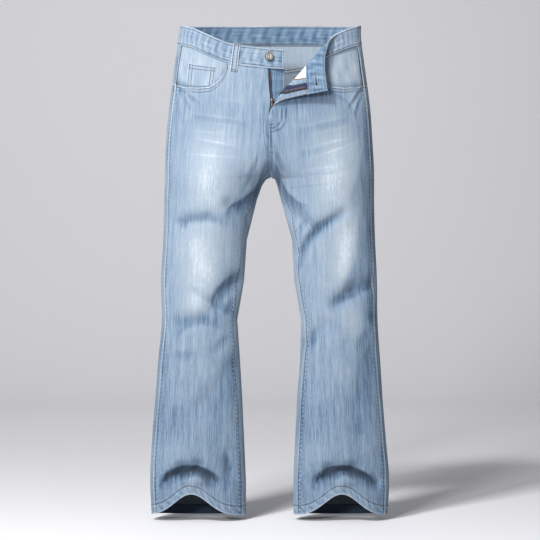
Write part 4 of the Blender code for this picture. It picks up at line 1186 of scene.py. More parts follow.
def loop_cloth(name, spot, length=LOOP_LENGTH, bow=LOOP_BOW, thick=1.5):
    across, down = np.meshgrid(np.linspace(-0.5, 0.5, 15), np.linspace(0, 1, 40))
    stand = loop_stand(down, bow)
    crown = 0.35 * np.cos(across * math.pi * 2.2) ** 2
    low = BAND_FACE + 0.4
    height = WAIST_TOP + 1 - down * length
    outer = spot(across * (LOOP_WIDTH - 0.8), height, low + thick + stand + crown - 0.3)
    inner = spot(across * (LOOP_WIDTH - 0.8), height, low + stand)
    to_edge = (0.5 - np.abs(across)) * LOOP_WIDTH
    worn = rubbed_rim(to_edge, 0.30, 1.5) + stitch_groove(to_edge - 2.9, 0.42)
    worn = worn + 0.06 * waves(down * 60, across * 9)
    piece = shell(name, outer, inner, TRIM, TRIM, {"faded": 0.50, "worn": worn})
    declare(piece)


def loop_spot(side, x, front, lean):
    """The places of a belt loop on the front or back, by the way across it and the height."""
    def spot(across, height, out):
        at = x + across + lean * (height - WAIST_TOP)
        level = WAIST_TOP + 0 * at
        for _ in range(4):
            angle = front_angle(side, at, level) if front else back_angle(side, at, level)
            level = height - waist_drop(side, angle, True)
        return on_form(side, angle, level, out)

    return spot


def corner_spot(across, height, out):
    """The places of the belt loop that the folded corner turns under."""
    x = 60.0 + across
    return on_lapel(x, height - LEFT_EDGE_DIP(x / OUTER[LEFT](0.0)), out)


LOOPS = {
    "loop_front_right": loop_spot(RIGHT, -74.0, True, 0.12),
    "loop_back_right": loop_spot(RIGHT, -104.0, False, 0.0),
    "loop_back_left": loop_spot(LEFT, 104.0, False, 0.0),
    "loop_back_middle": loop_spot(LEFT, 0.0, False, 0.0),
}

# ---------------------------------------------------------------- pockets and fly


def facing_cloth(name, side, depth):
    share, down = np.meshgrid(np.linspace(0, 1, 70), np.linspace(0, 1, 40))

    def angle_of(height):
        start = side_seam(side, height, -SEAM_GAP / 2)
        return start + share * (front_angle(side, side * 88.0, height) - start)

    def height_of(angle):
        top = band_seam(side, angle) - SEAM_GAP
        distance = np.maximum(np.abs(np.sin(angle)) * OUTER[side](top), POCKET_MOUTH[0][0])
        return top + down * (np.minimum(MOUTH(distance), top) - 16 - top)

    angle, z = settle(angle_of, height_of, np.full_like(share, -60.0))
    x = x_at(side, angle, z)
    swell = 0.5 * np.exp(-(((down - 0.55) / 0.3) ** 2)) * waves(x * 0.16, z * 0.4)
    outer, inner = (on_form(side, angle, z, -DENIM - below - depth + swell * 0.5) for below in (0.8, 1.8))
    seam = np.abs(share * 118 - 14)
    worn = 0.3 * swell + rubbed_rim(seam, 0.16) + stitch_groove(seam - 3, 0.12)
    mouth_gap = MOUTH(np.maximum(np.abs(x), POCKET_MOUTH[0][0])) - z
    # Painted shade just inside the pocket's mouth.
    worn = worn - 0.30 * soft_step(1 - np.abs(mouth_gap) / 16)
    # Painted shadow of the folded corner on the left facing.
    if side == LEFT:
        worn = worn - 0.22 * soft_step((152 - np.abs(x)) / 40)
    piece = shell(name, outer, inner, OUTSIDE, REVERSE, {"faded": 0.64, "worn": worn})
    declare(piece)


def coin_place(column, share, out):
    upper_x, upper_z = -181.0 + column * 61.0, -65.0 - column * 11.0
    lower_x = -185.0 + column * 60.0
    lower_z = MOUTH(np.abs(lower_x)) + 4
    x, z = upper_x + share * (lower_x - upper_x), upper_z + share * (lower_z - upper_z)
    return on_form(RIGHT, front_angle(RIGHT, x, z), z, out)


def coin_cloth():
    column, share = np.meshgrid(np.linspace(0, 1, 40), np.linspace(0, 1, 34))
    swell = 0.35 * waves(column * 9, share * 14) * np.sin(math.pi * column)
    sides, hem = np.minimum(column, 1 - column) * 54, share * 50
    edge = np.minimum(sides, hem)
    worn = rubbed_rim(edge, 0.24, 1.4) + stitch_groove(sides - 2.7, 0.24) + stitch_groove(sides - 8.6, 0.24)
    worn = worn + stitch_groove(hem - 3.0, 0.22) + stitch_groove(hem - 11.0, 0.22) + 0.3 * swell
    outer = coin_place(column, share, -DENIM + 0.4 + swell * 0.5)
    inner = coin_place(column, share, -DENIM - 0.5)
    piece = shell("coin_pocket_cloth", outer, inner, TRIM, TRIM, {"faded": 0.60, "worn": worn})
    declare(piece)


def back_pocket_place(side, column, share, out):
    across = (column - 0.5) * 128.0 * (1 - 0.1 * share)
    foot = 118.0 + 22.0 * (1 - np.abs(2 * column - 1))
    x = side * (98.0 + across + 0.06 * share * foot)
    z = -108.0 + 0.06 * across - share * foot
    return on_form(side, back_angle(side, x, z), z, out)


def back_pocket_cloth(name, side):
    column, share = np.meshgrid(np.linspace(0, 1, 81), np.linspace(0, 1, 70))
    edge = np.minimum(np.minimum(column, 1 - column) * 120, (1 - share) * 118)
    top = share * 118
    swell = 0.5 * waves(column * 12, share * 9) * np.sin(math.pi * column) * np.sin(math.pi * share)
    swell = swell + 0.25 * np.exp(-(((edge - 7) / 4) ** 2)) * waves((column * 120 + top) * 0.5, edge)
    worn = rubbed_rim(edge, 0.26, 1.6) + stitch_groove(edge - 2.9, 0.24) + stitch_groove(edge - 8.8, 0.2)
    worn = worn + rubbed_rim(top, 0.26, 1.6) + stitch_groove(top - 15, 0.2) + 0.3 * swell
    outer = back_pocket_place(side, column, share, 1.6 + swell)
    inner = back_pocket_place(side, column, share, 0.45)
    piece = shell(name, outer, inner, TRIM, TRIM, {"faded": 0.55, "worn": worn})
    declare(piece)


def lapel_taper(z):
    """How the strips along the fly's edge narrow towards the foot of the folded corner."""
    return 1 - 0.6 * soft_step((LAPEL_TAPER_FROM - z) / 40)


def lapel_cloth(name, edge_from, edge_to, bottom, face, back, material, faded):
    """A strip inside the left front, between two distances from its fly edge, turned out with its corner."""
    column, down = np.meshgrid(np.linspace(0, 1, 48), np.linspace(0, 1, 60))
    width = edge_to - edge_from
    x = FLY_EDGES[0][2] + edge_from + column * width
    for _ in range(3):
        seam = band_seam(LEFT, front_angle(LEFT, x, np.full_like(x, -75.0))) - 0.8
        z = seam + down * (bottom - seam)
        x = FLY_EDGE[LEFT](z) + edge_from + column * width * lapel_taper(z)
    worn = 0.2 * np.exp(-((np.minimum(column, 1 - column) * 40 / 1.5) ** 2)) + 0.1 * waves(z * 0.6, x * 0.4)
    marks = {"faded": faded, "worn": worn}
    piece = shell(name, on_lapel(x, z, face), on_lapel(x, z, back), material, material, marks)
    declare(piece)


def bag_cloth():
    """The white cotton behind the left front, which the fold turns out beside the facing."""
    column, down = np.meshgrid(np.linspace(0, 1, 90), np.linspace(0, 1, 60))
    x = 47.0 + column * 121
    for _ in range(3):
        top = band_seam(LEFT, front_angle(LEFT, np.minimum(x, 92), np.full_like(x, -70.0))) - 0.8
        z = top + down * (-150 - top)
        near = FLY_EDGE[LEFT](z) + 33 + 20 * soft_step((-108 - z) / 40)
        x = near + column * (168 - near)
    z = np.where(x > 92, np.minimum(z, MOUTH(x) - 3 - 8 * down), z)
    outer, inner = on_lapel(x, z, -DENIM - 0.5), on_lapel(x, z, -DENIM - 1.2)
    piece = shell("pocket_bag_left_cloth", outer, inner, COTTON, COTTON)
    declare(piece)


def shield_place(column, share, out):
    x = -22.0 + column * 51.0
    top, bottom = -70.0 - 0.11 * (x + 22), -168.0 + 0.28 * (x + 22)
    z = top + share * (bottom - top)
    return on_form(RIGHT, front_angle(RIGHT, x, z), z, out - 5 * soft_step(x / 29.0))


def shield_cloth():
    column, share = np.meshgrid(np.linspace(0, 1, 40), np.linspace(0, 1, 60))
    swell = 0.3 * waves(share * 26, column * 6)
    worn = rubbed_rim((1 - column) * 51, 0.30, 2.2) + 0.2 * swell
    outer, inner = (shield_place(column, share, -DENIM - below + 0.3 * swell) for below in (2.3, 3.6))
    piece = shell("fly_shield_cloth", outer, inner, PAINTED_SHADE_DENIM, PAINTED_SHADE_DENIM, {"faded": 0.34, "worn": worn})
    declare(piece)


def right_tape_cloth():
    column, share = np.meshgrid(np.linspace(0, 1, 16), np.linspace(0, 1, 60))
    z = -80 - share * 78
    x = CHAIN_X(z) - 4.5 + (column - 0.5) * 11
    angle = front_angle(RIGHT, x, z)
    outer, inner = on_form(RIGHT, angle, z, -DENIM - 0.7), on_form(RIGHT, angle, z, -DENIM - 1.4)
    piece = shell("zip_tape_right_cloth", outer, inner, TAPE, TAPE)
    declare(piece)


def hem_cloth(name, side):
    seam = side_seam(side, np.array(HEM_LEVEL), 0)
    around = np.linspace(0, 2 * math.pi, 150, endpoint=False) + float(seam)
    angle, share = np.meshgrid(around, np.linspace(0, 1, 12))
    z = HEM_LEVEL + 1 + share * 19 + hem_shift(side, angle, np.full_like(angle, HEM_LEVEL))
    outer, inner = on_form(side, angle, z, -DENIM - 0.5), on_form(side, angle, z, -DENIM - 1.6)
    # Painted shade: the turned-up hem inside the leg is darkened below the deepest blue.
    marks = {"faded": -0.08, "worn": 0.08 * waves(angle * 40, share * 9)}
    piece = shell(name, outer, inner, REVERSE, PAINTED_SHADE_DENIM, marks, ring=True)
    declare(piece)


plain_panel("front_right_cloth", RIGHT, True, 96)
plain_panel("back_right_cloth", RIGHT, False, 80)
plain_panel("back_left_cloth", LEFT, False, 80)
left_front_panel()
yoke_cloth("yoke_right_cloth", RIGHT)
yoke_cloth("yoke_left_cloth", LEFT)
band_cloth("waistband_back_cloth", back_band_place, -1, 1, 300, 215)
band_cloth("waistband_right_cloth", right_band_place, 0, 1, 180, 230)
band_cloth("waistband_left_cloth", left_band_place, 0, 1, 200, 210)
for name, spot in LOOPS.items():
    loop_cloth(name + "_cloth", spot)
loop_cloth("loop_front_left_cloth", corner_spot, BAND_HEIGHT + 4, bow=0.0, thick=1.2)
facing_cloth("pocket_facing_right_cloth", RIGHT, 0.0)
facing_cloth("pocket_facing_left_cloth", LEFT, 1.4)
coin_cloth()
back_pocket_cloth("back_pocket_right_cloth", RIGHT)
back_pocket_cloth("back_pocket_left_cloth", LEFT)
lapel_cloth("fly_facing_left_cloth", 0.6, 35.5, -149, -DENIM - 1.9, -DENIM - 2.8, TRIM, 0.46)
lapel_cloth("zip_tape_left_cloth", 10.8, 23.6, -140, -DENIM - 4.4, -DENIM - 5.1, TAPE, 0.5)
bag_cloth()
shield_cloth()
right_tape_cloth()
hem_cloth("hem_right_cloth", RIGHT)
hem_cloth("hem_left_cloth", LEFT)

# ---------------------------------------------------------------- sewing


def along(path, places):
    """Points and ways out at places along a path, measured in millimetres from its start."""
    run = np.concatenate(([0], np.cumsum(np.linalg.norm(np.diff(path[0], axis=0), axis=-1))))
    return [np.stack([np.interp(places, run, values[:, k]) for k in range(3)], -1) for values in path]


def unit(vectors):
    return vectors / np.maximum(np.linalg.norm(vectors, axis=-1, keepdims=True), 1e-9)


# A stitch is a block of four rings, (share of its length, share of its thickness), closed at both ends.
STITCH_RINGS = ((0.0, 0.35), (0.25, 1.0), (0.75, 1.0), (1.0, 0.35))
STITCH_FACES = np.array([(4 * ring + k, 4 * ring + (k + 1) % 4, 4 * ring + (k + 1) % 4 + 4, 4 * ring + k + 4)
                         for ring in range(3) for k in range(4)] + [(3, 2, 1, 0), (12, 13, 14, 15)])
LONG_STITCH = {"length": 3.1, "gap": 0.3, "radius": 0.6}  # on the inside of the yoke and waistband


class Sewing:
    """Stitches of one thread, gathered into one mesh."""

    def __init__(self, name, material, slot):
        self.name, self.material, self.slot = name, material, slot
        self.points = []

    def add(self, path, lift, length=2.8, gap=0.7, radius=0.5):
        """A row of stitches along a path of points, each with its way out of the cloth."""
        total = np.linalg.norm(np.diff(path[0], axis=0), axis=-1).sum()
        number = int(total / (length + gap))
        if number < 1:
            return
        starts = (np.arange(number) + 0.1) * total / number
        rings = []
        for share, thick in STITCH_RINGS:
            place = starts + share * length
            centre, way = along(path, place)
            way = unit(way)
            ahead = unit(along(path, place + 0.3)[0] - along(path, place - 0.3)[0])
            beside = np.cross(way, ahead)
            middle = centre + way * (lift - (1 - thick) * radius * 0.9)
            size = radius * thick
            rings.append(np.stack((middle + beside * size, middle + way * size * 0.8,
                                   middle - beside * size, middle - way * size * 0.8), 1))
        self.points.append(np.stack(rings, 1).reshape(-1, 3))

    def tack(self, path, lift, width=1.9, radius=0.38, pitch=0.75):
        """A bartack: close stitches across a short path."""
        total = np.linalg.norm(np.diff(path[0], axis=0), axis=-1).sum()
        for place in np.arange(0.3, total, pitch):
            centre, way = along(path, place)
            beside = np.cross(way, along(path, place + 0.4)[0] - centre)
            beside /= max(np.linalg.norm(beside), 1e-9)
            short = np.stack((centre - beside * width / 2, centre, centre + beside * width / 2))
            self.add((short, np.stack((way, way, way))), lift, length=width * 0.92, gap=0.05, radius=radius)

    def finish(self):
        points = np.concatenate(self.points)
        first = np.arange(0, len(points), 4 * len(STITCH_RINGS))
        faces = (first[:, None, None] + STITCH_FACES).reshape(-1, 4).tolist()
        body_piece(self.name, points, faces, self.material)


def row_on(place, level, first, second, out=1):
    """A path at a level over a place function, with its ways out. out is -1 on the cloth's inner face."""
    first, second = np.broadcast_arrays(np.asarray(first, float), np.asarray(second, float))
    low, high = place(first, second, level), place(first, second, level + out)
    return low, high - low


def leg_place(side):
    return lambda angle, z, out: cloth(side, angle, z, out)


def front_row(side, x, z):
    """A path over a leg's front, through places across and up."""
    return row_on(leg_place(side), 0.0, front_angle(side, x, z), z)


def seam_row(side, front, seam, away, top, bottom):
    """A path down a leg at a distance from its side seam or its inseam."""
    z = np.linspace(top, bottom, 500)
    start = side_seam(side, z, 0) if seam == "side" else inner_edge(side, z, front, 0)
    bulge = np.where(front, FRONT_BULGE(z), BACK_BULGE(z))
    scale = np.hypot(half_width(side, z, front) * np.cos(start), bulge * np.sin(start))
    angle = start + away / np.maximum(scale, 8)
    return row_on(leg_place(side), 0.0, angle, z + hem_shift(side, angle, z))


pale = Sewing("sewing_pale", PALE_THREAD, "denim_loops")
grey = Sewing("sewing_grey", GREY_THREAD, "denim_loops")
tan = Sewing("sewing_tan", TAN_THREAD, "denim_inside")
brown = Sewing("sewing_brown", BROWN_THREAD, "denim_inside")


def sew_leg(side):
    """The rows and tacks that each leg has."""
    # Side seams are topstitched at the hip; the inseam's row runs down the whole leg, on the front.
    pale.add(seam_row(side, True, "side", 2.2, -116, -250), 0.35)
    grey.add(seam_row(side, True, "inseam", 3.0, -372, -1044), 0.3)
    grey.add(seam_row(side, False, "side", 3.0, -60, -250), 0.3)
    for front in (True, False):
        start = float(side_seam(side, np.array(HEM_ROW), 0))
        angle = np.linspace(start, float(inner_edge(side, np.array(HEM_ROW), front, 0)), 260)
        z = HEM_LEVEL + 20.0 + hem_shift(side, angle, np.full_like(angle, HEM_LEVEL))
        grey.add(row_on(leg_place(side), 0.0, angle, z), 0.35)
    # Pocket mouths have two rows, and a tack at each end.
    distance = np.linspace(96, 205, 160)
    for below in (2.4, 9.0):
        grey.add(front_row(side, side * distance, MOUTH(distance) - below), 0.3)
    for x, top, bottom in ((206, -105, -117), (95, -70, -82)):
        brown.tack(front_row(side, side * x, np.linspace(top, bottom, 12)), 0.45)
    # Yoke seams on the back, outside and inside.
    start = float(side_seam(side, np.array(-60.0), 0))
    angle = np.linspace(start + 0.02, math.pi - 0.02, 240)
    for below in (2.2, 7.6):
        tan.add(row_on(leg_place(side), 0.0, angle, yoke_seam(angle) - below), 0.3)
    angle = np.linspace(start + 0.05, math.pi - 0.02, 240)
    for above in (1.8, -4.6):
        inside = row_on(lambda *place: on_form(side, *place), -SHELL - 0.3, angle, yoke_seam(angle) + above, -1)
        tan.add(inside, 0.2, **LONG_STITCH)


def sew_seat_seam():
    z = np.linspace(-84, -296, 160)
    for aside in (2.4, 8.0):
        angle = math.pi + np.arcsin(np.clip(curve_share(z, False), 0, 1)) - aside / 110
        tan.add(row_on(leg_place(LEFT), 0.0, angle, z), 0.3)


def sew_waistband():
    """A row near the waistband's upper edge and one at its seam, on both faces, and one across each end."""
    for place, start, end in ((back_band_place, -0.99, 0.99), (right_band_place, 0.01, RIGHT_BAND_END)):
        column = np.linspace(start, end, 400)
        for share in BAND_ROWS:
            grey.add(row_on(place, BAND_FACE, column, share), 0.3)
        for share in (0.045, 0.93):
            tan.add(row_on(place, BAND_LINING, column, share, -1), 0.35, **LONG_STITCH)
    down = np.linspace(0.04, 0.96, 40)
    grey.add(row_on(right_band_place, BAND_FACE, RIGHT_BAND_END, down), 0.3)
    column = np.linspace(0.01, LEFT_BAND_END, 460)
    for share in BAND_ROWS:
        grey.add(row_on(left_band_place, BAND_FACE, column, share), 0.3)
        tan.add(row_on(left_band_place, BAND_LINING, column, share, -1), 0.35)
    tan.add(row_on(left_band_place, BAND_LINING, LEFT_BAND_END, down, -1), 0.35)
    # Under the right waistband, on the front.
    x = RIGHT * np.linspace(30, 92, 80)
    grey.add(front_row(RIGHT, x, front_top(RIGHT, front_angle(RIGHT, x, np.full_like(x, -80.0))) - 2.6), 0.3)


def sew_loop(spot):
    """A belt loop's two edge rows, and tacks at its sewn ends."""
    down = np.linspace(0.02, 0.98, 60)
    for across in (-4.9, 4.9):
        height = WAIST_TOP + 1 - down * LOOP_LENGTH
        grey.add(row_on(spot, loop_stand(down) + BAND_FACE + 1.75, across, height), 0.3)
    across = np.linspace(-6.4, 6.4, 20)
    for down_at in (0.035, 0.955):
        height = WAIST_TOP + 1 - down_at * LOOP_LENGTH
        brown.tack(row_on(spot, loop_stand(down_at) + BAND_FACE + 1.8, across, height), 0.35)


def sew_coin_pocket():
    """The coin pocket's hem and its two rows at each side, with tacks at the upper corners."""
    level = -DENIM + 0.5
    run = np.linspace(0.03, 0.97, 60)
    for share in (0.06, 0.22):
        grey.add(row_on(coin_place, level, run, share), 0.3)
    for column in (0.05, 0.16, 0.84, 0.95):
        grey.add(row_on(coin_place, level, column, run), 0.3)
    for column in (0.06, 0.94):
        brown.tack(row_on(coin_place, level, column, np.linspace(0.02, 0.2, 12)), 0.4)


def sew_back_pocket(side):
    """A hem and two plain rows inside the edge."""
    def place(column, share, out):
        return back_pocket_place(side, column, share, out)

    for inset in (0.022, 0.07):
        foot = 1 - inset * 1.15
        for column in (inset, 1 - inset):
            tan.add(row_on(place, 1.7, column, np.linspace(0.02, foot, 120)), 0.35)
        tan.add(row_on(place, 1.7, np.linspace(inset, 1 - inset, 240), foot), 0.35)
    for share in (0.03, 0.13):
        tan.add(row_on(place, 1.7, np.linspace(0.03, 0.97, 200), share), 0.35)


def sew_fly():
    """The curved double row on the left front, the rows beside the middle seam, and the bartacks."""
    for corners in FLY_CURVES:
        steps, t = np.linspace(0, 1, len(corners)), np.linspace(0, 1, 120)
        x, z = (np.polynomial.Polynomial.fit(steps, np.array(values, float), len(corners) - 1)(t)
                for values in zip(*corners))
        grey.add(front_row(LEFT, x, z), 0.3)
    z = np.linspace(-190, -302, 110)
    for side, away in ((LEFT, 2.4), (RIGHT, 5.0)):
        angle = inner_edge(side, z, np.ones_like(z, bool), 0) + away / 100.0
        grey.add(row_on(leg_place(side), 0.0, angle, z), 0.3)
    for x0, z0, x1, z1 in ((-3.2, -203, 5.4, -201), (-3, -262, 4, -262)):
        t = np.linspace(0, 1, 12)
        brown.tack(front_row(LEFT, x0 + t * (x1 - x0), z0 + t * (z1 - z0)), 0.6)


def sew_folded_corner():
    """The rows beside the teeth and along the facing on the folded corner, and the facing's bound edge."""
    for edge_at, level, bottom, sewing in ((2.4, -DENIM - 3.1, -144, pale), (15.6, -DENIM - 5.1, -138, pale),
                                           (20.5, -DENIM - 5.1, -138, grey)):
        z = np.linspace(-88, bottom, 120)
        path = row_on(on_lapel, level, FLY_EDGE[LEFT](z) + edge_at, z, -1)
        sewing.add(path, 0.2, length=3.0, gap=0.4, radius=0.4)
    z = np.linspace(-83, -124, 120)
    path = row_on(on_lapel, -DENIM - 3.1, FLY_EDGE[LEFT](z) + 34.6 * lapel_taper(z), z, -1)
    tan.tack(path, 0.2, width=3.0, radius=0.42)


HEM_ROW = -1035.0
BAND_ROWS = (0.075, 0.925)
RIGHT_BAND_END, LEFT_BAND_END = 0.985, 0.975
FLY_CURVES = (
    # corners (x, z) of a curve through them
    ((23.5, -178), (20.5, -197), (10, -209), (-2, -212)),
    ((33, -178), (31.5, -198), (22, -212), (5, -219), (-3, -220)),
)

for side in (RIGHT, LEFT):
    sew_leg(side)
sew_seat_seam()
sew_waistband()
for spot in LOOPS.values():
    sew_loop(spot)
sew_coin_pocket()
for side in (RIGHT, LEFT):
    sew_back_pocket(side)
sew_fly()
sew_folded_corner()

# The keyhole buttonhole, by shares of the left waistband's length and height.
KEYHOLE_EYE, KEYHOLE_TIP = 0.930, 0.838
KEYHOLE_ROUND, KEYHOLE_WIDE, KEYHOLE_NECK = 0.0185, 0.092, 0.014
BAND_SIDES = (("inner", BAND_LINING, -1), ("outer", BAND_FACE, 1))


def keyhole():
    """The keyhole buttonhole near the end of the left waistband: its worked edge, and painted shade filling its
    round end and its cut.
    """
    arc = np.linspace(math.radians(100), math.radians(-100), 24)
    leg = np.linspace(0, 1, 22)
    leg_c = KEYHOLE_TIP + (KEYHOLE_EYE + KEYHOLE_ROUND * math.cos(arc[0]) - KEYHOLE_TIP) * leg
    leg_s = KEYHOLE_NECK + (KEYHOLE_WIDE * math.sin(arc[0]) - KEYHOLE_NECK) * leg**1.3
    path_c = np.concatenate((leg_c, KEYHOLE_EYE + KEYHOLE_ROUND * np.cos(arc), leg_c[::-1]))
    path_s = 0.5 + np.concatenate((leg_s, KEYHOLE_WIDE * np.sin(arc), -leg_s[::-1]))
    for label, level, out in BAND_SIDES:
        pale.tack(row_on(left_band_place, level, path_c, path_s, out), 0.3, width=1.7, radius=0.36)
        tip_c = np.linspace(KEYHOLE_TIP - 0.014, KEYHOLE_TIP + 0.004, 8)
        tan.tack(row_on(left_band_place, level, tip_c, 0.5, out), 0.35, width=2.2, radius=0.36)
    # The keyhole's round end and its cut are filled on both faces with discs of the dark navy tape: painted
    # shade for the open hole.
    turns = np.linspace(0, 2 * math.pi, 40)[:-1]
    slit_ends = np.array((KEYHOLE_EYE - 0.008, KEYHOLE_TIP + 0.012, KEYHOLE_TIP + 0.012, KEYHOLE_EYE - 0.008))
    hollows = (("eye", KEYHOLE_EYE + 0.0095 * np.cos(turns), 0.5 + 0.048 * np.sin(turns)),
               ("slit", slit_ends, np.array((0.482, 0.495, 0.505, 0.518))))
    for hollow, column, share in hollows:
        for label, level, out in BAND_SIDES:
            points = [left_band_place(column, share, level + out * lift) for lift in (0.35, -0.4)]
            ring = len(column)
            faces = [tuple(range(ring)), tuple(range(2 * ring - 1, ring - 1, -1))]
            faces += [(k, (k + 1) % ring, ring + (k + 1) % ring, ring + k) for k in range(ring)]
            piece = body_piece(f"buttonhole_{hollow}_{label}", np.concatenate(points), faces, TAPE,
                               np.zeros((2 * ring, 2)))


keyhole()
for sewing in (pale, grey, tan, brown):
    sewing.finish()

# ---------------------------------------------------------------- zip teeth, slider, tab and button

TOOTH_PITCH = 1.7
TOOTH_CORNERS = np.array([(a, b, c) for a in (-1, 1) for b in (-1, 1) for c in (-1, 1)], float)
TOOTH_CORNERS[TOOTH_CORNERS[:, 2] > 0, 1] *= 0.7
TOOTH_FACES = np.array([(0, 1, 3, 2), (4, 6, 7, 5), (0, 4, 5, 1), (2, 3, 7, 6), (0, 2, 6, 4), (1, 5, 7, 3)])


def teeth(side, place, x, z, level, ground, out, half_sizes):
    """The teeth of one tape: narrowed blocks with rounded edges, each with its length across the tape."""
    centres, feet = place(x, z, level), place(x, z, ground)
    ways = unit(place(x, z, out) - feet)
    across = unit(place(x + 1, z, ground) - feet)
    ahead = np.cross(across, ways)
    half_sizes = np.array(half_sizes)[:, None]
    blocks = [centre + TOOTH_CORNERS @ (np.stack(basis) * half_sizes)
              for centre, *basis in zip(centres, across, ahead, ways)]
    faces = np.concatenate([TOOTH_FACES + 8 * k for k in range(len(blocks))])
    piece = body_piece(f"zip_teeth_{SIDE_WORD[side]}", np.concatenate(blocks), faces.tolist(), COPPER)
    bevel = piece.modifiers.new("rounding", "BEVEL")
    bevel.width = 0.00012
    bevel.segments = 1
    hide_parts(f"zip_chain_{SIDE_WORD[side]}")


def turned(name, profile, where, way, material, segments=64):
    """A turned piece from a profile down its outer side, with its axis along a way."""
    profile = np.array(profile, float)
    turn = np.arange(segments) * 2 * math.pi / segments
    axis = Vector(way).normalized()
    spin = axis.to_track_quat("Z", "Y").to_matrix()
    rings = np.stack(np.broadcast_arrays(profile[:, :1] * np.cos(turn), profile[:, :1] * np.sin(turn),
                                         profile[:, 1:]), -1)
    points = rings.reshape(-1, 3) @ np.array(spin).T + where
    centres = [where + np.array(axis) * height for height in (profile[0, 1], profile[-1, 1])]
    first, last = len(points), (len(profile) - 1) * segments
    faces = grid_faces(len(profile), segments, 0, True, True).tolist()
    faces += [(k, (k + 1) % segments, first) for k in range(segments)]
    faces += [(last + (k + 1) % segments, last + k, first + 1) for k in range(segments)]
    return body_piece(name, np.concatenate((points, centres)), faces, material)


def button_cap():
    """The shank button: a plain cap with a rounded rim, on its shank."""
    x, z = BUTTON_PLACE
    angle = front_angle(RIGHT, np.array(x), np.array(z))
    where = on_form(RIGHT, angle, z, BAND_FACE + 0.3)
    way = on_form(RIGHT, angle, z, 10.0) - on_form(RIGHT, angle, z, 0.0)
    r = BUTTON_RADIUS
    profile = [(0.4, 6.0), (1.6, 6.1), (2.6, 5.9), (3.0, 5.75), (3.5, 5.95), (5.9, 6.15), (6.3, 6.0),
               (6.8, 6.1), (7.5, 6.7), (8.1, 6.95), (8.7, 6.9), (9.2, 6.5), (r, 5.8), (r, 5.2),
               (9.2, 4.6), (8.3, 4.2), (5.0, 3.9), (3.2, 3.6), (2.8, 2.6), (2.9, 0.9), (3.6, 0.3), (3.6, 0.0)]
    piece = turned("button_cap", profile, where, way, NICKEL)
    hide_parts("button")


# Cast forms, as sections from the top down: height, half width, half depth, middle y.
SLIDER_BODY = ((5.5, 2.2, 1.0, 3.3), (5.0, 2.9, 1.45, 3.3), (2.0, 3.0, 1.5, 3.3), (-1.0, 2.2, 1.45, 3.3),
               (-3.4, 1.9, 1.35, 3.3), (-4.0, 1.4, 0.9, 3.3))
SLIDER_EAR = ((1.3, 0.3, 1.1, 0.9), (1.0, 0.45, 1.6, 0.6), (-1.0, 0.45, 1.6, 0.6), (-1.3, 0.3, 1.1, 0.9))
PULL_TAB = ((1.2, 1.1, 0.4, 0), (0.9, 1.5, 0.55, 0), (-2.0, 1.6, 0.6, 0), (-3.2, 1.1, 0.45, 0),
            (-8.0, 1.3, 0.45, 0), (-9.2, 1.65, 0.55, 0), (-12.4, 1.6, 0.55, 0), (-13.0, 1.1, 0.4, 0))


def cast(name, node_name, forms):
    """Small cast copper forms at the pull tab's hinge, each a loft through its sections, moved across."""
    corners, points, faces = 20, [], []
    turn = np.arange(corners) * 2 * math.pi / corners
    square_x, square_y = (np.sign(wave) * np.abs(wave) ** 0.5 for wave in (np.cos(turn), np.sin(turn)))
    for sections, across in forms:
        start = len(points) * corners
        points += [np.stack((across + square_x * wide, square_y * deep + middle, height + 0 * turn), -1)
                   for height, wide, deep, middle in sections]
        end = len(points) * corners
        faces += grid_faces(len(sections), corners, start, True, True).tolist()
        faces += [tuple(range(start, start + corners)), tuple(range(end - 1, end - corners - 1, -1))]
    piece = body_piece(name, np.concatenate(points) + np.array(PULL_HINGE), faces, COPPER)
    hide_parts(node_name)
    return piece


def zip_metal():
    """The teeth on both tapes, the slider, and the tab that turns on it."""
    z = np.arange(-84.0, -144.0, -TOOTH_PITCH)
    teeth(RIGHT, lambda x, z, out: on_form(RIGHT, front_angle(RIGHT, x, z), z, out), CHAIN_X(z), z,
          -DENIM + 0.2, 0.0, 1.0, (0.8, 0.5, 0.7))
    z = np.arange(-87.0, -142.0, -TOOTH_PITCH)
    level = -DENIM - 5.9
    teeth(LEFT, on_lapel, FLY_EDGE[LEFT](z) + 12.8, z, level, level, -DENIM - 7.0, (1.5, 0.55, 0.7))
    button_cap()
    cast("zip_slider_cast", "zip_slider", ((SLIDER_BODY, 0), (SLIDER_EAR, -2.5), (SLIDER_EAR, 2.5)))
    tab = cast("zip_tab_cast", "zip_pull_tab", ((PULL_TAB, 0),))
    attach(tab, "pull_tab")


zip_metal()

# ---------------------------------------------------------------- studio: floor, light and camera

FLOOR = -1.0655
PAPER_DEPTH, PAPER_BEND, PAPER_TOP = 3.4, 1.6, 6.0
VIEW_DISTANCE, VIEW_WIDTH, VIEW_HEIGHT, SENSOR = 4.0, 1.188, -0.517, 36.0


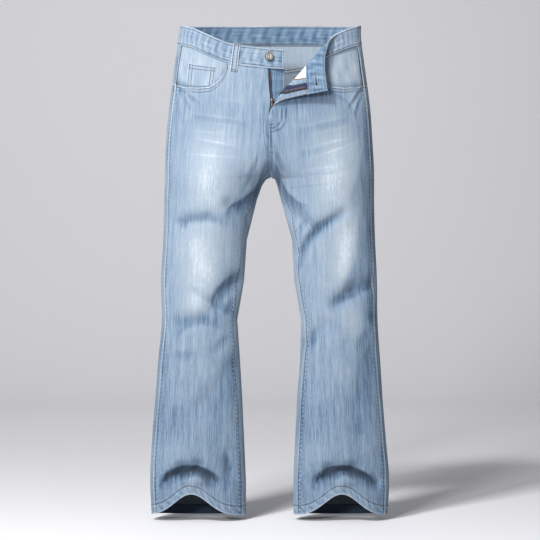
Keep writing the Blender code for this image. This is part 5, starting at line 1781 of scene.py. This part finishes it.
def studio():
    """A floor that bends up into the background behind the jeans."""
    turns = np.linspace(0.1, math.pi / 2, 12)
    profile = [(-6.0, 0.0), (PAPER_DEPTH, 0.0)]
    profile += [(PAPER_DEPTH + PAPER_BEND * math.sin(t), PAPER_BEND - PAPER_BEND * math.cos(t)) for t in turns]
    profile += [(PAPER_DEPTH + PAPER_BEND, PAPER_TOP)]
    points = [(x, y, FLOOR + z) for x in (-8.0, 8.0) for y, z in profile]
    count = len(profile)
    mesh = bpy.data.meshes.new("studio_floor")
    mesh.from_pydata(points, [], [(k, k + 1, count + k + 1, count + k) for k in range(count - 1)])
    mesh.shade_smooth()
    floor = bpy.data.objects.new("studio_floor", mesh)
    bpy.context.scene.collection.objects.link(floor)
    material, tree, shader = new_finish("studio_paper")
    pattern = node(tree, "ShaderNodeTexNoise", {"Scale": 3.0}).outputs["Fac"]
    two_tones(tree, shader, pattern, (0.70, 0.695, 0.72), (0.73, 0.725, 0.75), 0.0, 1.0)
    shader.inputs["Roughness"].default_value = 0.9
    mesh.materials.append(material)


def area_light(name, place, target, size, power):
    """A lamp of a width and height in metres, turned to a target."""
    data = bpy.data.lights.new(name, "AREA")
    data.shape = "RECTANGLE"
    data.size, data.size_y = size
    data.energy = power
    lamp = bpy.data.objects.new(name, data)
    lamp.location = place
    lamp.rotation_mode = "QUATERNION"
    lamp.rotation_quaternion = (Vector(target) - Vector(place)).to_track_quat("-Z", "Y")
    bpy.context.scene.collection.objects.link(lamp)


def studio_air():
    """The even light from all round, and the scene's plain way of showing colours."""
    world = bpy.data.worlds.new("studio_air")
    world.use_nodes = True
    background = world.node_tree.nodes["Background"]
    background.inputs["Color"].default_value = (0.97, 0.98, 1.0, 1)
    background.inputs["Strength"].default_value = 0.28
    bpy.context.scene.world = world
    bpy.context.scene.view_settings.view_transform = "Standard"


def front_view():
    """The camera, level with the middle of the jeans, as in the photo."""
    data = bpy.data.cameras.new("front_view")
    data.sensor_width = SENSOR
    data.lens = SENSOR * VIEW_DISTANCE / VIEW_WIDTH
    camera = bpy.data.objects.new("front_view", data)
    camera.location = (-0.0022, -VIEW_DISTANCE, VIEW_HEIGHT)
    camera.rotation_euler = (math.pi / 2, 0, 0)
    bpy.context.scene.collection.objects.link(camera)
    bpy.context.scene.camera = camera


studio()
area_light("key_front_left", (-1.534, -3.995, 0.79), (0, 0, -0.6), (0.6, 0.6), 125)
area_light("above_left", (-1.3, -2.0, 1.9), (0, 0, -0.5), (0.45, 0.45), 125)
area_light("back_paper", (-0.4, 2.6, 1.7), (-0.2, 4.6, -1.0), (3.4, 1.0), 21)
studio_air()
front_view()

print("SHEETS", json.dumps(made_sheets))
